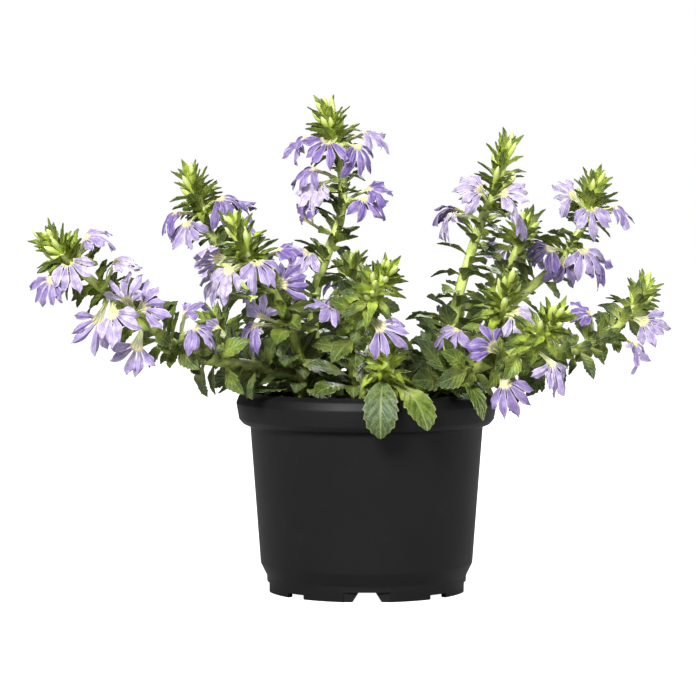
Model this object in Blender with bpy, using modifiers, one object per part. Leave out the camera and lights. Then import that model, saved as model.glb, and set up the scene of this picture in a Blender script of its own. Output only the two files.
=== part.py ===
"""A fan flower (Scaevola) in a black nursery pot: leafy stems, blooms, potting soil and the pot.

Each leafy stem is one solid, with its leaves and with the bracts and buds of its tip grown onto it.
Each bloom, or pair of blooms with one base, is a solid of its own that sits on its stem. The stems
stand in plain holes in the soil. Sizes in the tables are millimetres. The pot stands on z = 0 with its
axis on Z, and the front of the plant faces -Y.
"""

import math
import random

import bmesh
import bpy
import numpy as np
from mathutils.bvhtree import BVHTree

MM = 0.001

# Pot
POT_STEPS = 28
POT_HEIGHT = 100.0
RIM_RADIUS = 65.0
RIM_TOP_RADIUS = 60.0
WALL = 1.3
FLOOR_UNDER, FLOOR_TOP = 5.6, 7.0
FOOT_INNER, FOOT_OUTER, FOOT_HEIGHT = 46.6, 49.6, 7.6
BODY_LOW, BODY_TOP = (52.9, 14.0), (58.0, 82.1)
NOTCH_WIDTH, NOTCH_HEIGHT, NOTCH_DEPTH = 23.0, 4.9, 1.4
ARCH_TOP, ARCH_FOOT = 8.4, 15.5
SLOT_WIDTH, SLOT_HEIGHT = 11.0, 2.2
DRAIN_RADIUS, DRAIN_CIRCLE, DRAIN_SIDES = 4.5, 33.0, 8

# Soil
SOIL_GAP = 0.4
SOIL_LEVEL, SOIL_MOUND, SOIL_RELIEF = 92.5, 2.5, 0.9
SOIL_TOP = 96.5
SOIL_STEPS = 20
HOLE_GAP = 0.35
HOLE_SIDES = 4
ROOTED = 22.0

# Plant tissue
BLADE = 0.65
KEEL = 1.2
GAP = 0.3
SEAT_GAP, SEAT_REACH, SEAT_STEP = 0.15, 5.0, 0.1
POT_CLEARANCE = 1.5
STEM_BASE_RADIUS, STEM_TIP_RADIUS = 2.7, 1.6
STEM_RING_SPACING = 17.0
GOLDEN_ANGLE = math.radians(137.5)
SEED = 11
SHARP = math.radians(38)

# Room round an organ: how far its test copies swell past the margin asked, and where the outer part of
# a blade or bud begins, which keeps off the other organs of its own stem
SWELL, RIM_SWELL, OUTER_GAP = 1.3, 0.7, 0.05
BLADE_OUTER_FROM, BUD_OUTER_FROM = 0.3, 0.35

# Bloom: a slit tube that opens into five lobes on one side of its throat
TUBE_LENGTH = 11.5
TUBE_HALF_WIDTH = 0.85
BASE_BELOW, BASE_OVER, PAIR_OVER = 0.35, 0.6, 0.95
THROAT_RADIUS, THROAT_SPREAD = 3.0, 1.05
LOBES = 5
LOBE_LENGTH, LOBE_LENGTH_VARIES, SIDE_LOBE_LOSS = 14.6, (0.94, 1.06), 0.03
LOBE_HALF_WIDTH, LOBE_TIP_SHARE = 2.1, 0.55
LOBE_STEP, LOBE_STRAY = math.radians(30), 0.06
LOBE_SHOULDER = 0.78
TUBE_FACES = 7
LOBE_RISE = 0.5
REFLEX = (0.022, 0.048)
LOBE_TWIST = math.radians(32)
LOBE_GAP = 0.15

# Where a bloom looks for room: places along the stem, turns about it, and openings of a pair
SPRAY_SHIFTS = (0, 3, -3, 6, -6, 9, -9)
SPRAY_SWING, SPRAY_SWING_STEP = 84, 12
PAIR_OPENINGS = (0, 12, 24, 36, 48)

# The crowded tip of a stem, from its top to its lowest organ: degrees and millimetres
BUD_LEAN, BUD_LENGTH, BUD_RADIUS = (14, 32), (11.5, 14.5), (1.35, 1.6)
BUD_FOOT_RADIUS, BUD_WIDEST = 0.8, 0.62
BRACT_LEAN, BRACT_BEND = (14, 72), (18, 66)
BRACT_LENGTH, BRACT_HALF_WIDTH = (12.5, 17.0), (2.3, 3.1)

# Leaves along a stem, drawn at random between these
LEAF_LEAN, LEAF_BEND = (50, 74), (45, 85)
LEAF_HALF_WIDTH_SHARE = 0.24

# Outlines of blades between root and tip: (share of the length, share of the half width)
BRACT_OUTLINE = ((0.48, 1.0),)
LEAF_OUTLINE = ((0.56, 1.0), (0.64, 0.74))
SHORT_LEAF = 19.0
BROAD_OUTLINE = ((0.34, 0.55), (0.60, 1.0), (0.66, 0.84), (0.82, 0.78), (0.87, 0.52))

# Stems. The route's points run from the root up to the growing tip. "tip" is the length of the crowded
# tip with its bracts and buds, "leaves" is (count, shortest, longest), and each entry of "sprays" is
# (distance below the tip, [(direction of the tube, direction of the middle lobe), ...]).
STEMS = {
    "trailing_left": {
        "root": (-22, -16),
        "route": [(-29, -20, 105), (-42, -28, 111), (-59, -40, 115), (-76, -52, 118), (-87, -60, 122),
                  (-101, -70, 133), (-114, -80, 146), (-126, -88, 154), (-135, -95, 163),
                  (-147, -102, 176)],
        "tip": 17, "bracts": 15, "buds": 5, "leaves": (17, 15, 27),
        "sprays": [
            (16, [((0.35, -0.45, 0.8), (0.95, -0.15, 0.1))]),
            (20, [((-0.2, -0.9, 0.35), (0.35, -0.25, -0.9)), ((-0.7, -0.65, -0.3), (-0.35, -0.1, -0.95))]),
            (36, [((0.3, -0.4, 0.85), (0.97, -0.1, -0.2))]),
            (41, [((-0.35, -0.6, -0.7), (-0.6, -0.3, -0.75)), ((0.1, -0.8, -0.55), (0.35, -0.35, -0.87))]),
            (57, [((-0.15, -0.75, 0.6), (-0.25, -0.3, 0.9)), ((0.45, -0.7, 0.5), (0.75, -0.25, 0.55))]),
            (63, [((-0.2, -0.55, -0.75), (-0.3, -0.35, -0.9))]),
            (86, [((0.2, -0.3, 0.9), (0.9, -0.1, 0.35)), ((0.5, -0.5, 0.7), (0.8, -0.3, -0.5))]),
        ],
    },
    "back_left": {
        "root": (-26, 22),
        "route": [(-30, 28, 108), (-40, 40, 126), (-60, 52, 145), (-74, 60, 162), (-82, 64, 181),
                  (-86, 65, 193), (-91, 66, 206)],
        "tip": 17, "bracts": 15, "buds": 5, "leaves": (12, 15, 27),
        "sprays": [
            (17, [((0.75, -0.5, 0.4), (0.85, -0.2, -0.45)), ((0.9, -0.1, 0.2), (0.9, -0.1, -0.35))]),
            (20, [((-0.85, -0.4, 0.1), (-0.6, -0.3, -0.75)), ((-0.45, -0.8, -0.3), (0.1, -0.25, -0.95))]),
            (34, [((0.8, -0.4, 0.45), (0.9, -0.2, -0.3))]),
        ],
    },
    "front_left": {
        "root": (-31, -27),
        "route": [(-32, -28, 104), (-33, -30, 117), (-36, -36, 129), (-43, -44, 146), (-51, -50, 157),
                  (-58, -55, 168), (-63, -58, 183)],
        "tip": 20, "bracts": 16, "buds": 5, "leaves": (12, 16, 29),
        "sprays": [
            (20, [((0.25, -0.93, 0.1), (0.25, -0.25, -0.93)), ((-0.6, -0.75, -0.2), (-0.35, -0.2, -0.9))]),
            (21, [((-0.95, -0.2, 0.2), (-0.9, -0.25, 0.15)), ((-0.8, 0.3, -0.35), (-0.7, -0.1, -0.7))]),
            (22, [((0.8, -0.3, 0.5), (0.97, -0.15, -0.1))]),
            (35, [((0.6, -0.75, 0.25), (0.8, -0.15, 0.4))]),
            (60, [((-0.75, -0.55, 0.35), (-0.35, -0.3, 0.85)), ((-0.85, -0.5, 0.0), (-0.6, -0.2, -0.75))]),
        ],
    },
    "tall_middle": {
        "root": (-20, 4),
        "route": [(-23, 5, 108), (-27, 8, 130), (-25, 10, 152), (-21, 10, 165), (-16, 10, 176),
                  (-13, 10, 187), (-12, 10, 200), (-13, 10, 213), (-16, 8, 225), (-20, 6, 238)],
        "tip": 17, "bracts": 16, "buds": 5, "leaves": (18, 14, 29),
        "sprays": [
            (16, [((-0.85, -0.45, 0.2), (-0.55, -0.2, -0.8)), ((-0.4, -0.9, 0.0), (-0.5, -0.25, -0.83))]),
            (17, [((0.85, -0.3, 0.4), (0.9, -0.2, -0.35)), ((0.7, -0.7, 0.0), (0.35, -0.2, -0.92))]),
            (34, [((-0.8, -0.45, 0.35), (-0.85, -0.25, -0.45)), ((-0.7, -0.6, -0.2), (-0.4, -0.2, -0.9))]),
            (46, [((0.8, -0.4, 0.45), (0.95, -0.15, -0.25)), ((0.7, -0.65, 0.1), (0.6, -0.25, -0.75))]),
            (64, [((-0.7, -0.55, 0.5), (-0.35, -0.3, 0.87))]),
            (79, [((-0.4, -0.75, 0.5), (-0.6, -0.3, -0.7))]),
        ],
    },
    "front_middle": {
        "root": (-6, -32),
        "route": [(-7, -36, 107), (-6, -44, 122), (-5, -54, 135), (-2, -66, 144), (4, -80, 152),
                  (9, -92, 161)],
        "tip": 26, "bracts": 16, "buds": 7, "leaves": (12, 15, 31),
        "sprays": [
            (49, [((-0.75, -0.35, 0.55), (-0.85, -0.3, 0.3)), ((-0.6, 0.2, 0.75), (-0.5, -0.1, -0.85))]),
            (36, [((0.5, -0.75, -0.4), (0.75, -0.25, -0.6))]),
        ],
    },
    "tall_right": {
        "root": (22, 6),
        "route": [(32, 6, 108), (40, 8, 122), (44, 10, 139), (49, 12, 157), (54, 12, 173), (58, 11, 185),
                  (64, 9, 197), (67, 8, 210), (70, 7, 221)],
        "tip": 31, "bracts": 19, "buds": 5, "leaves": (14, 16, 30),
        "sprays": [
            (32, [((-0.3, -0.8, 0.5), (-0.97, -0.15, 0.2)), ((0.5, -0.75, 0.4), (0.92, -0.2, -0.3))]),
            (38, [((0.85, -0.3, 0.2), (0.5, -0.2, -0.85))]),
            (48, [((-0.85, -0.4, 0.35), (-0.85, -0.25, -0.45)), ((-0.7, -0.7, 0.1), (-0.35, -0.25, -0.9))]),
        ],
    },
    "right_back": {
        "root": (30, 18),
        "route": [(42, 27, 108), (58, 40, 125), (77, 52, 143), (93, 60, 156), (103, 64, 167),
                  (111, 67, 179), (117, 69, 190), (119, 70, 203)],
        "tip": 18, "bracts": 15, "buds": 5, "leaves": (13, 15, 27),
        "sprays": [
            (16, [((-0.6, -0.5, 0.6), (-0.92, -0.1, 0.35)), ((0.1, -0.95, 0.2), (0.1, -0.3, -0.95))]),
            (18, [((0.85, -0.35, 0.35), (0.75, -0.15, -0.65))]),
            (30, [((-0.85, -0.45, 0.25), (-0.75, -0.2, -0.6)), ((-0.5, -0.85, 0.0), (-0.1, -0.25, -0.95))]),
            (38, [((0.45, -0.85, 0.0), (0.35, -0.3, -0.9)), ((0.8, -0.45, -0.3), (0.7, -0.2, -0.7))]),
        ],
    },
    "short_right": {
        "root": (20, -12),
        "route": [(32, -19, 107), (48, -30, 119), (60, -40, 129), (67, -48, 141), (68, -52, 153)],
        "tip": 17, "bracts": 14, "buds": 4, "leaves": (10, 15, 30),
        "sprays": [
            (17, [((0.3, -0.9, 0.2), (0.75, -0.2, -0.6))]),
            (34, [((-0.75, -0.5, 0.4), (-0.75, -0.3, -0.6))]),
        ],
    },
    "front_right": {
        "root": (28, -30),
        "route": [(33, -38, 105), (45, -50, 111), (59, -64, 117), (70, -76, 123), (80, -88, 130),
                  (88, -99, 141)],
        "tip": 20, "bracts": 15, "buds": 6, "leaves": (11, 16, 29),
        "sprays": [
            (43, [((-0.35, -0.85, 0.35), (-0.8, -0.2, 0.55))]),
            (47, [((0.2, -0.7, -0.65), (0.35, -0.35, -0.87))]),
            (24, [((0.6, -0.6, -0.5), (0.1, -0.1, -0.98))]),
        ],
    },
    "trailing_right": {
        "root": (36, 0),
        "route": [(47, 3, 104), (67, 10, 109), (88, 22, 113), (104, 36, 117), (116, 50, 121),
                  (128, 62, 127), (138, 74, 135), (147, 85, 148)],
        "tip": 20, "bracts": 16, "buds": 5, "leaves": (15, 15, 27),
        "sprays": [
            (53, [((-0.1, -0.4, 0.9), (-0.85, -0.2, 0.3))]),
            (40, [((0.8, -0.5, -0.3), (0.2, -0.2, -0.96))]),
            (22, [((0.5, -0.8, -0.3), (0.75, -0.1, -0.65))]),
        ],
    },
    "young_front": {
        "root": (8, -40),
        "route": [(8, -47, 104), (9, -54, 112), (9, -58, 119)],
        "tip": 9, "bracts": 12, "buds": 0, "leaves": (3, 17, 33),
        "sprays": [],
    },
    "rear_left": {
        "root": (-14, 28),
        "route": [(-24, 40, 110), (-37, 60, 127), (-49, 80, 144), (-56, 92, 159)],
        "tip": 16, "bracts": 14, "buds": 4, "leaves": (11, 15, 30),
        "sprays": [
            (18, [((-0.4, 0.8, 0.3), (-0.4, 0.3, -0.9)), ((0.45, 0.8, 0.1), (0.5, 0.2, -0.85))]),
        ],
    },
    "rear_middle": {
        "root": (1, 30),
        "route": [(-3, 40, 110), (-7, 62, 127), (-8, 84, 144), (-7, 98, 161)],
        "tip": 16, "bracts": 14, "buds": 4, "leaves": (11, 15, 30),
        "sprays": [
            (18, [((-0.6, 0.6, 0.4), (-0.8, 0.3, -0.5)), ((0.4, 0.8, 0.1), (0.4, 0.2, -0.9))]),
        ],
    },
    "rear_right": {
        "root": (15, 22),
        "route": [(32, 36, 113), (59, 64, 138), (76, 84, 161), (86, 94, 183)],
        "tip": 16, "bracts": 14, "buds": 4, "leaves": (13, 15, 29),
        "sprays": [
            (18, [((0.5, 0.75, 0.3), (0.6, 0.2, -0.8)), ((-0.3, 0.9, 0.1), (-0.5, 0.1, -0.85))]),
        ],
    },
    "low_left": {
        "root": (-34, 12),
        "route": [(-43, 30, 106), (-56, 51, 112), (-70, 70, 119), (-81, 84, 131)],
        "tip": 15, "bracts": 13, "buds": 4, "leaves": (11, 15, 30),
        "sprays": [
            (17, [((-0.5, -0.4, 0.8), (-0.9, 0.0, 0.5)), ((0.45, -0.45, 0.7), (0.9, -0.2, -0.3))]),
        ],
    },
}

# Broad leaves low on the plant: (stem, distance up the stem, direction, length, half width, bend)
BROAD_LEAVES = [
    ("young_front", 36, (-0.08, -0.9, 0.35), 47, 8.0, 128),
    ("young_front", 33, (0.58, -0.74, 0.3), 46, 7.6, 128),
    ("front_right", 30, (0.55, -0.78, 0.25), 40, 4.4, 105),
    ("front_left", 27, (0.5, -0.8, 0.35), 27, 5.5, 115),
    ("front_left", 24, (-0.75, -0.6, 0.3), 33, 6.0, 105),
    ("trailing_left", 33, (-0.5, -0.85, 0.25), 34, 6.5, 100),
    ("trailing_left", 50, (-0.95, -0.1, 0.25), 30, 5.0, 60),
    ("front_middle", 29, (-0.65, -0.7, 0.3), 30, 6.0, 105),
    ("trailing_right", 54, (0.6, -0.75, -0.1), 24, 7.5, 60),
    ("front_right", 44, (0.1, -0.6, -0.75), 20, 5.5, 10),
    ("rear_right", 34, (0.7, 0.6, 0.3), 34, 7.0, 100),
    ("rear_middle", 32, (-0.2, 0.95, 0.25), 32, 7.0, 100),
    ("rear_left", 33, (-0.6, 0.75, 0.25), 32, 7.0, 95),
    ("low_left", 36, (-0.9, 0.3, 0.25), 32, 7.0, 95),
    ("trailing_right", 38, (0.75, 0.6, 0.3), 32, 7.0, 95),
]


def unit(v):
    """The vector at length one."""
    v = np.asarray(v, float)
    return v / np.linalg.norm(v)


def square_to(v, axis):
    """The part of v at right angles to the unit vector axis, at length one."""
    v = np.asarray(v, float)
    return unit(v - (v @ axis) * axis)


def turned(v, axis, angle):
    """The vector v turned about the unit vector axis."""
    v, c, s = np.asarray(v, float), math.cos(angle), math.sin(angle)
    return v * c + np.cross(axis, v) * s + axis * (axis @ v) * (1 - c)


def away_from_line(points, line):
    """The distance from each point to a line of many short pieces."""
    a, ab = line[:-1], np.diff(line, axis=0)
    gap = points[:, None, :] - a[None]
    t = np.clip((gap * ab).sum(-1) / (ab * ab).sum(-1), 0, 1)
    return np.linalg.norm(gap - t[..., None] * ab, axis=-1).min(axis=1)


class Route:
    """A stem's line: straight up out of the soil, then through its points in chords, one to a ring."""

    def __init__(self, root, points, samples=10):
        foot = np.array([root[0], root[1], SOIL_TOP])
        p = np.array([foot] + [np.array(q, float) for q in points])
        rising = np.array([0, 0, np.linalg.norm(p[1] - p[0])])
        ends = np.vstack([p[1] - 2 * rising, p, 2 * p[-1] - p[-2]])
        curve = []
        for a, b, c, d in zip(ends, ends[1:], ends[2:], ends[3:]):
            for t in np.arange(samples) / samples:
                curve.append(
                    0.5 * (2 * b + (c - a) * t + (2 * a - 5 * b + 4 * c - d) * t * t
                           + (3 * b - a - 3 * c + d) * t ** 3)
                )
        self.set_line(np.array(curve + [p[-1]]))
        rings = max(3, round(self.length / STEM_RING_SPACING))
        chords = [self.point(s) for s in np.linspace(0.0, self.length, rings)]
        self.set_line(np.array([foot - (0, 0, ROOTED)] + chords))

    def set_line(self, line):
        self.line = line
        self.at = np.concatenate([[0.0], np.cumsum(np.linalg.norm(np.diff(line, axis=0), axis=1))])
        self.length = self.at[-1]

    def point(self, s):
        return np.array([np.interp(s, self.at, self.line[:, k]) for k in range(3)])

    def tangent(self, s, reach=1.5):
        return unit(self.point(min(s + reach, self.length)) - self.point(max(s - reach, 0.0)))

    def radius(self, s):
        """The stem thins towards its tip."""
        return STEM_BASE_RADIUS + (STEM_TIP_RADIUS - STEM_BASE_RADIUS) * (s / self.length) ** 1.5

    def tube(self, sides=6):
        """The stem's surface above the soil as points and faces, to test what comes near it."""
        points, faces = [], []
        for s in self.at[1:]:
            along = self.tangent(s)
            east = square_to((0.0, 1.0, 0.0) if abs(along[1]) < 0.9 else (1.0, 0.0, 0.0), along)
            for k in range(sides):
                out = turned(east, along, 2 * math.pi * k / sides)
                points.append(self.point(s) + out * (self.radius(s) + 0.1))
        for i in range(len(self.at) - 2):
            for k in range(sides):
                a, b = i * sides + k, i * sides + (k + 1) % sides
                faces.append((a, b, b + sides, a + sides))
        return np.array(points), faces


class Organ:
    """A blade, bloom or bud: its surface, its solid, and swollen copies of the solid that test its
    room. The whole copy is held against other nodes, and the outer copy against its own stem's
    organs."""

    def __init__(self, kind, surface, solid, whole, outer=None):
        self.kind = kind
        self.points, self.faces = surface
        self.solid, self.whole, self.outer = solid, whole, outer

    def samples(self, parts=5, faces=None):
        """Points spread evenly over the surface, or over some of its faces."""
        a, b, c = (self.points[[face[k] for face in faces or self.faces]] for k in range(3))
        steps = [(i / parts, j / parts) for i in range(parts + 1) for j in range(parts + 1 - i)]
        return np.concatenate([a + (b - a) * i + (c - a) * j for i, j in steps])


def point_normals(points, faces, by_area):
    """The direction at right angles to a surface of triangles, at each of its points."""
    corners = np.array(faces)
    a, b, c = points[corners[:, 0]], points[corners[:, 1]], points[corners[:, 2]]
    across = np.cross(b - a, c - a)
    if not by_area:
        across /= np.maximum(np.linalg.norm(across, axis=1), 1e-9)[:, None]
    normals = np.zeros_like(points)
    np.add.at(normals, corners.ravel(), np.repeat(across, 3, axis=0))
    return normals / np.maximum(np.linalg.norm(normals, axis=1), 1e-9)[:, None]


def swollen(points, faces, margin):
    """A closed shape with its points moved out by margin."""
    return points + SWELL * margin * point_normals(points, faces, by_area=False), faces


def fattened(points, faces, rim, margin):
    """A closed slab round an open surface: moved out by margin both ways and joined at its rim."""
    normals = point_normals(points, faces, by_area=True)
    centre = points.mean(0)
    wide = points.copy()
    for i in rim:
        wide[i] += margin * RIM_SWELL * unit(points[i] - centre)
    n = len(points)
    both = np.vstack([wide + margin * normals, wide - margin * normals])
    slab = [tuple(f) for f in faces] + [tuple(i + n for i in f[::-1]) for f in faces]
    for a, b in zip(rim, rim[1:] + rim[:1]):
        slab += [(a, a + n, b + n), (a, b + n, b)]
    return both, slab


def blade_solid(root, direction, upper, length, half_width, bend, outline, start=0.0):
    """A leaf or bract: flat above and keeled below. It runs from a point at its root, through its
    rows, to a point at its tip, leaves the root along direction, and arches away from its upper side
    by the angle bend."""
    d, n = unit(direction), square_to(upper, unit(direction))
    side = np.cross(d, n)
    bend = math.radians(bend)

    def along(t):
        angle = bend * t
        if abs(bend) < 0.01:
            return root + d * length * t, n
        place = root + length / bend * (math.sin(angle) * d - (1 - math.cos(angle)) * n)
        return place, math.cos(angle) * n + math.sin(angle) * d

    points = [along(start)[0]]
    for t, share in outline:
        place, normal = along(t)
        half = half_width * share
        points += [place - side * half, place + side * half, place - normal * KEEL]
    points.append(along(1.0)[0])
    tip = len(points) - 1
    faces = [(0, 2, 1), (0, 1, 3), (0, 3, 2), (tip, tip - 3, tip - 2), (tip, tip - 1, tip - 3),
             (tip, tip - 2, tip - 1)]
    for k in range(1, tip - 3, 3):
        for a, b in ((k + 1, k), (k, k + 2), (k + 2, k + 1)):
            faces += [(a, b + 3, b), (a, a + 3, b + 3)]
    return np.array(points), faces


def blade(kind, *shape):
    """A leaf or bract with its room."""
    solid = blade_solid(*shape)
    outer = blade_solid(*shape, start=BLADE_OUTER_FROM)
    return Organ(kind, solid, solid, swollen(*solid, GAP), swollen(*outer, OUTER_GAP))


def bud(start, direction, length, radius):
    """A club-shaped bud with three sides."""
    east = square_to((0.31, 0.27, 0.91) if abs(direction[2]) < 0.9 else (1, 0.2, 0), direction)
    corners = [turned(east, direction, 2 * math.pi * k / 3) for k in range(3)]
    faces = [(2, 1, 0)]
    for i in range(3):
        j = (i + 1) % 3
        faces += [(i, j, j + 3), (i, j + 3, i + 3), (i + 3, j + 3, 6)]

    def solid(first=0.0):
        rings = [start + direction * length * first + way * BUD_FOOT_RADIUS for way in corners]
        rings += [start + direction * length * BUD_WIDEST + way * radius for way in corners]
        return np.array(rings + [start + direction * length]), faces

    outer = solid(BUD_OUTER_FROM)
    return Organ("bud", solid(), solid(), swollen(*solid(), GAP), swollen(*outer, OUTER_GAP))


def fan(first, row, throat, facing, middle, rng):
    """A bloom above the three points of its base row, as points numbered from first on, faces, and
    the rim from the row's left end to its right end. Each of its five lobes widens outwards to a
    slanted tip."""
    f = unit(middle)
    n = square_to(facing, f)
    side = np.cross(n, f)
    reflex = rng.uniform(*REFLEX)

    def at(radius, angle, lift=0.0):
        rise = LOBE_RISE * radius - reflex * radius * radius + lift
        return throat + radius * (math.cos(angle) * f + math.sin(angle) * side) + rise * n

    left, mid, right = row
    ring = [first + k for k in range(LOBES + 1)]
    points = [at(THROAT_RADIUS, (k - LOBES / 2) * LOBE_STEP * THROAT_SPREAD) for k in range(LOBES + 1)]
    faces = [(left, ring[1], ring[0]), (left, ring[2], ring[1]), (left, mid, ring[2]),
             (mid, ring[3], ring[2]), (mid, right, ring[3]), (right, ring[4], ring[3]),
             (right, ring[5], ring[4])]
    rim = [ring[0]]
    for k in range(LOBES):
        turn = k - (LOBES - 1) / 2
        angle = turn * LOBE_STEP + rng.uniform(-LOBE_STRAY, LOBE_STRAY)
        length = LOBE_LENGTH * (1.0 - SIDE_LOBE_LOSS * turn ** 2) * rng.uniform(*LOBE_LENGTH_VARIES)
        short = LOBE_SHOULDER * length
        slant = 1 if turn > 0 or turn == 0 and rng.random() < 0.5 else -1
        lift = LOBE_HALF_WIDTH * math.tan(rng.uniform(-LOBE_TWIST, LOBE_TWIST))
        shoulder = at(short, angle + slant * math.atan2(LOBE_HALF_WIDTH, short), slant * lift)
        inward = math.atan2(LOBE_TIP_SHARE * LOBE_HALF_WIDTH, length)
        tip = at(length, angle - slant * inward, -slant * lift)
        end = first + len(points)
        points += [tip, shoulder] if slant > 0 else [shoulder, tip]
        faces += [(ring[k], ring[k + 1], end), (end, ring[k + 1], end + 1)]
        rim += [end, end + 1, ring[k + 1]]
    return points, faces, rim


def base_points(tubes, overs):
    """The base of a bloom is a bent row of three points. A pair stands side by side, and its two rows
    share the point between them, point 0. Returns the points, measured from the base, and each
    bloom's row of them with its left end first."""
    w = TUBE_HALF_WIDTH
    sides = [np.cross(tube, over) for tube, over in zip(tubes, overs)]
    if len(tubes) == 1:
        below, above = -BASE_BELOW * overs[0], BASE_OVER * overs[0]
        return np.array([below - w * sides[0], above, below + w * sides[0]]), [(0, 1, 2)]
    shared = -BASE_BELOW * unit(overs[0] + overs[1])
    alike = 1 if sides[0] @ sides[1] > 0 else -1
    way = 1 if (tubes[1] - tubes[0]) @ (sides[0] + alike * sides[1]) > 0 else -1
    points, rows = [shared], []
    for side, over, out in ((sides[0], overs[0], -way), (sides[1], overs[1], way * alike)):
        points += [shared + out * w * side + PAIR_OVER * over, shared + 2 * out * w * side]
        row = (len(points) - 1, len(points) - 2, 0)
        rows.append(row if out < 0 else row[::-1])
    return np.array(points), rows


def bloom_sheet(base, feet, rows, blooms, rng):
    """One open sheet: a slit tube with its lobes, or a pair joined at the base by a small web. The
    feet are the base's points and rows say which of them carry each bloom."""
    points = list(base + feet)
    fans, rims = [], []
    for row, (tube, middle) in zip(rows, blooms):
        tube = unit(tube)
        more, faces, rim = fan(len(points), row, base + tube * TUBE_LENGTH, tube, middle, rng)
        points += more
        fans.append(faces)
        rims.append([row[0]] + rim + [row[2]])
    rim = rims[0] + [rows[0][1]]
    if len(blooms) > 1:
        if rows[0].index(0) == rows[1].index(0):
            fans[1] = [face[::-1] for face in fans[1]]
            rims[1] = rims[1][::-1]
        web = (0, rows[0][1], rows[1][1])
        fans[0].append(web if rows[0][2] == 0 else web[::-1])
        first, last = (0, 1) if rims[0][-1] == 0 else (1, 0)
        rim = rims[first] + rims[last][1:] + [rows[last][1], rows[first][1]]
    points = np.array(points)
    faces = [face for one in fans for face in one]
    organ = Organ("bloom", (points, faces), fattened(points, faces, rim, BLADE / 2),
                  fattened(points, faces, rim, BLADE / 2 + GAP))
    organ.fans = fans
    return organ


def spray(node, route, s, blooms):
    """The bloom or pair that leaves one place on a stem, just clear of its surface."""
    axis, r = route.point(s), route.radius(s)
    tubes = [unit(tube) for tube, _ in blooms]
    overs = [square_to(unit(middle), tube) for tube, (_, middle) in zip(tubes, blooms)]
    feet, rows = base_points(tubes, overs)
    outward = unit(sum(tubes))
    for reach in np.arange(r, r + SEAT_REACH, SEAT_STEP):
        base = axis + outward * reach
        if (away_from_line(base + feet, route.line) > r + BLADE / 2 + SEAT_GAP).all():
            break
    return bloom_sheet(base, feet, rows, blooms, random.Random(node))


class Room:
    """What has been placed so far, so that nothing new crosses another node."""

    def __init__(self, routes):
        self.trees, self.nodes, self.stems = [], [], []
        self.low, self.high = np.zeros((0, 3)), np.zeros((0, 3))
        for name, route in routes.items():
            self.remember(name, *route.tube(), stem=True)

    def remember(self, node, points, faces, stem=False):
        self.trees.append(BVHTree.FromPolygons(points.tolist(), faces))
        self.nodes.append(node)
        self.stems.append(stem)
        self.low = np.vstack([self.low, points.min(0)])
        self.high = np.vstack([self.high, points.max(0)])

    def add(self, organ, node):
        self.remember(node, *organ.solid)

    def clear(self, organ, node, own_stem=""):
        """True if the organ keeps its gap to every other node."""
        return not self.meets(organ.whole, lambda other, stem: other != node and other != own_stem)

    def apart(self, organ, node):
        """True if the outer part of an organ crosses nothing else on its own stem."""
        return not self.meets(organ.outer, lambda other, stem: other == node and not stem)

    def meets(self, shape, wanted):
        points, faces = shape
        near = ((self.low < points.max(0)) & (points.min(0) < self.high)).all(axis=1)
        found = [i for i in np.flatnonzero(near) if wanted(self.nodes[i], self.stems[i])]
        if not found:
            return False
        own = BVHTree.FromPolygons(points.tolist(), faces)
        return any(own.overlap(self.trees[i]) for i in found)


def clear_of_pot(samples):
    """True if no point comes too near the pot's collar, or the soil and the wall round it."""
    r, z = np.hypot(samples[:, 0], samples[:, 1]), samples[:, 2]
    by_collar = ((r > RIM_TOP_RADIUS - 2.5 * POT_CLEARANCE) & (r < RIM_RADIUS + 1.2 * POT_CLEARANCE)
                 & (z < POT_HEIGHT + POT_CLEARANCE))
    by_soil = (r < BODY_TOP[0] + POT_CLEARANCE) & (z < SOIL_TOP + 0.5 * POT_CLEARANCE)
    return not (by_collar | by_soil).any()


def between(ends, share):
    return ends[0] + (ends[1] - ends[0]) * share


def swings(widest, step):
    """Angles tried in turn: none, then a little each way, then more."""
    angles = [0.0]
    for k in range(1, int(widest / step) + 1):
        angles += [math.radians(k * step), -math.radians(k * step)]
    return angles


def lobes_apart(organ):
    """True if a pair's sheet crosses itself nowhere and the lobes of each bloom keep off the other."""
    if len(organ.fans) < 2:
        return True
    points, faces = organ.solid
    skin = BVHTree.FromPolygons(points.tolist(), faces)
    if any(not set(faces[i]) & set(faces[j]) for i, j in skin.overlap(skin)):
        return False
    for one, other in (organ.fans, organ.fans[::-1]):
        sheet = BVHTree.FromPolygons(organ.points.tolist(), other)
        lobes = organ.samples(4, one[TUBE_FACES:TUBE_FACES + 2 * LOBES])
        if any(sheet.find_nearest(place, BLADE + LOBE_GAP)[0] for place in lobes):
            return False
    return True


def place_sprays(stems, routes, room):
    """Blooms keep the direction given for them, or turn a little about the stem to find room. The two
    blooms of a pair also turn away from each other until their lobes are apart."""
    made = {}
    for name, stem in stems.items():
        route = routes[name]
        for number, (below, blooms) in enumerate(stem["sprays"], 1):
            node = f"bloom_{name}_{number}"
            for opening in PAIR_OPENINGS if len(blooms) > 1 else (0,):
                organ = roomy_spray(node, name, route, room, below, blooms, math.radians(opening))
                if organ:
                    made[node] = organ
                    room.add(organ, node)
                    break
    return made


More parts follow.
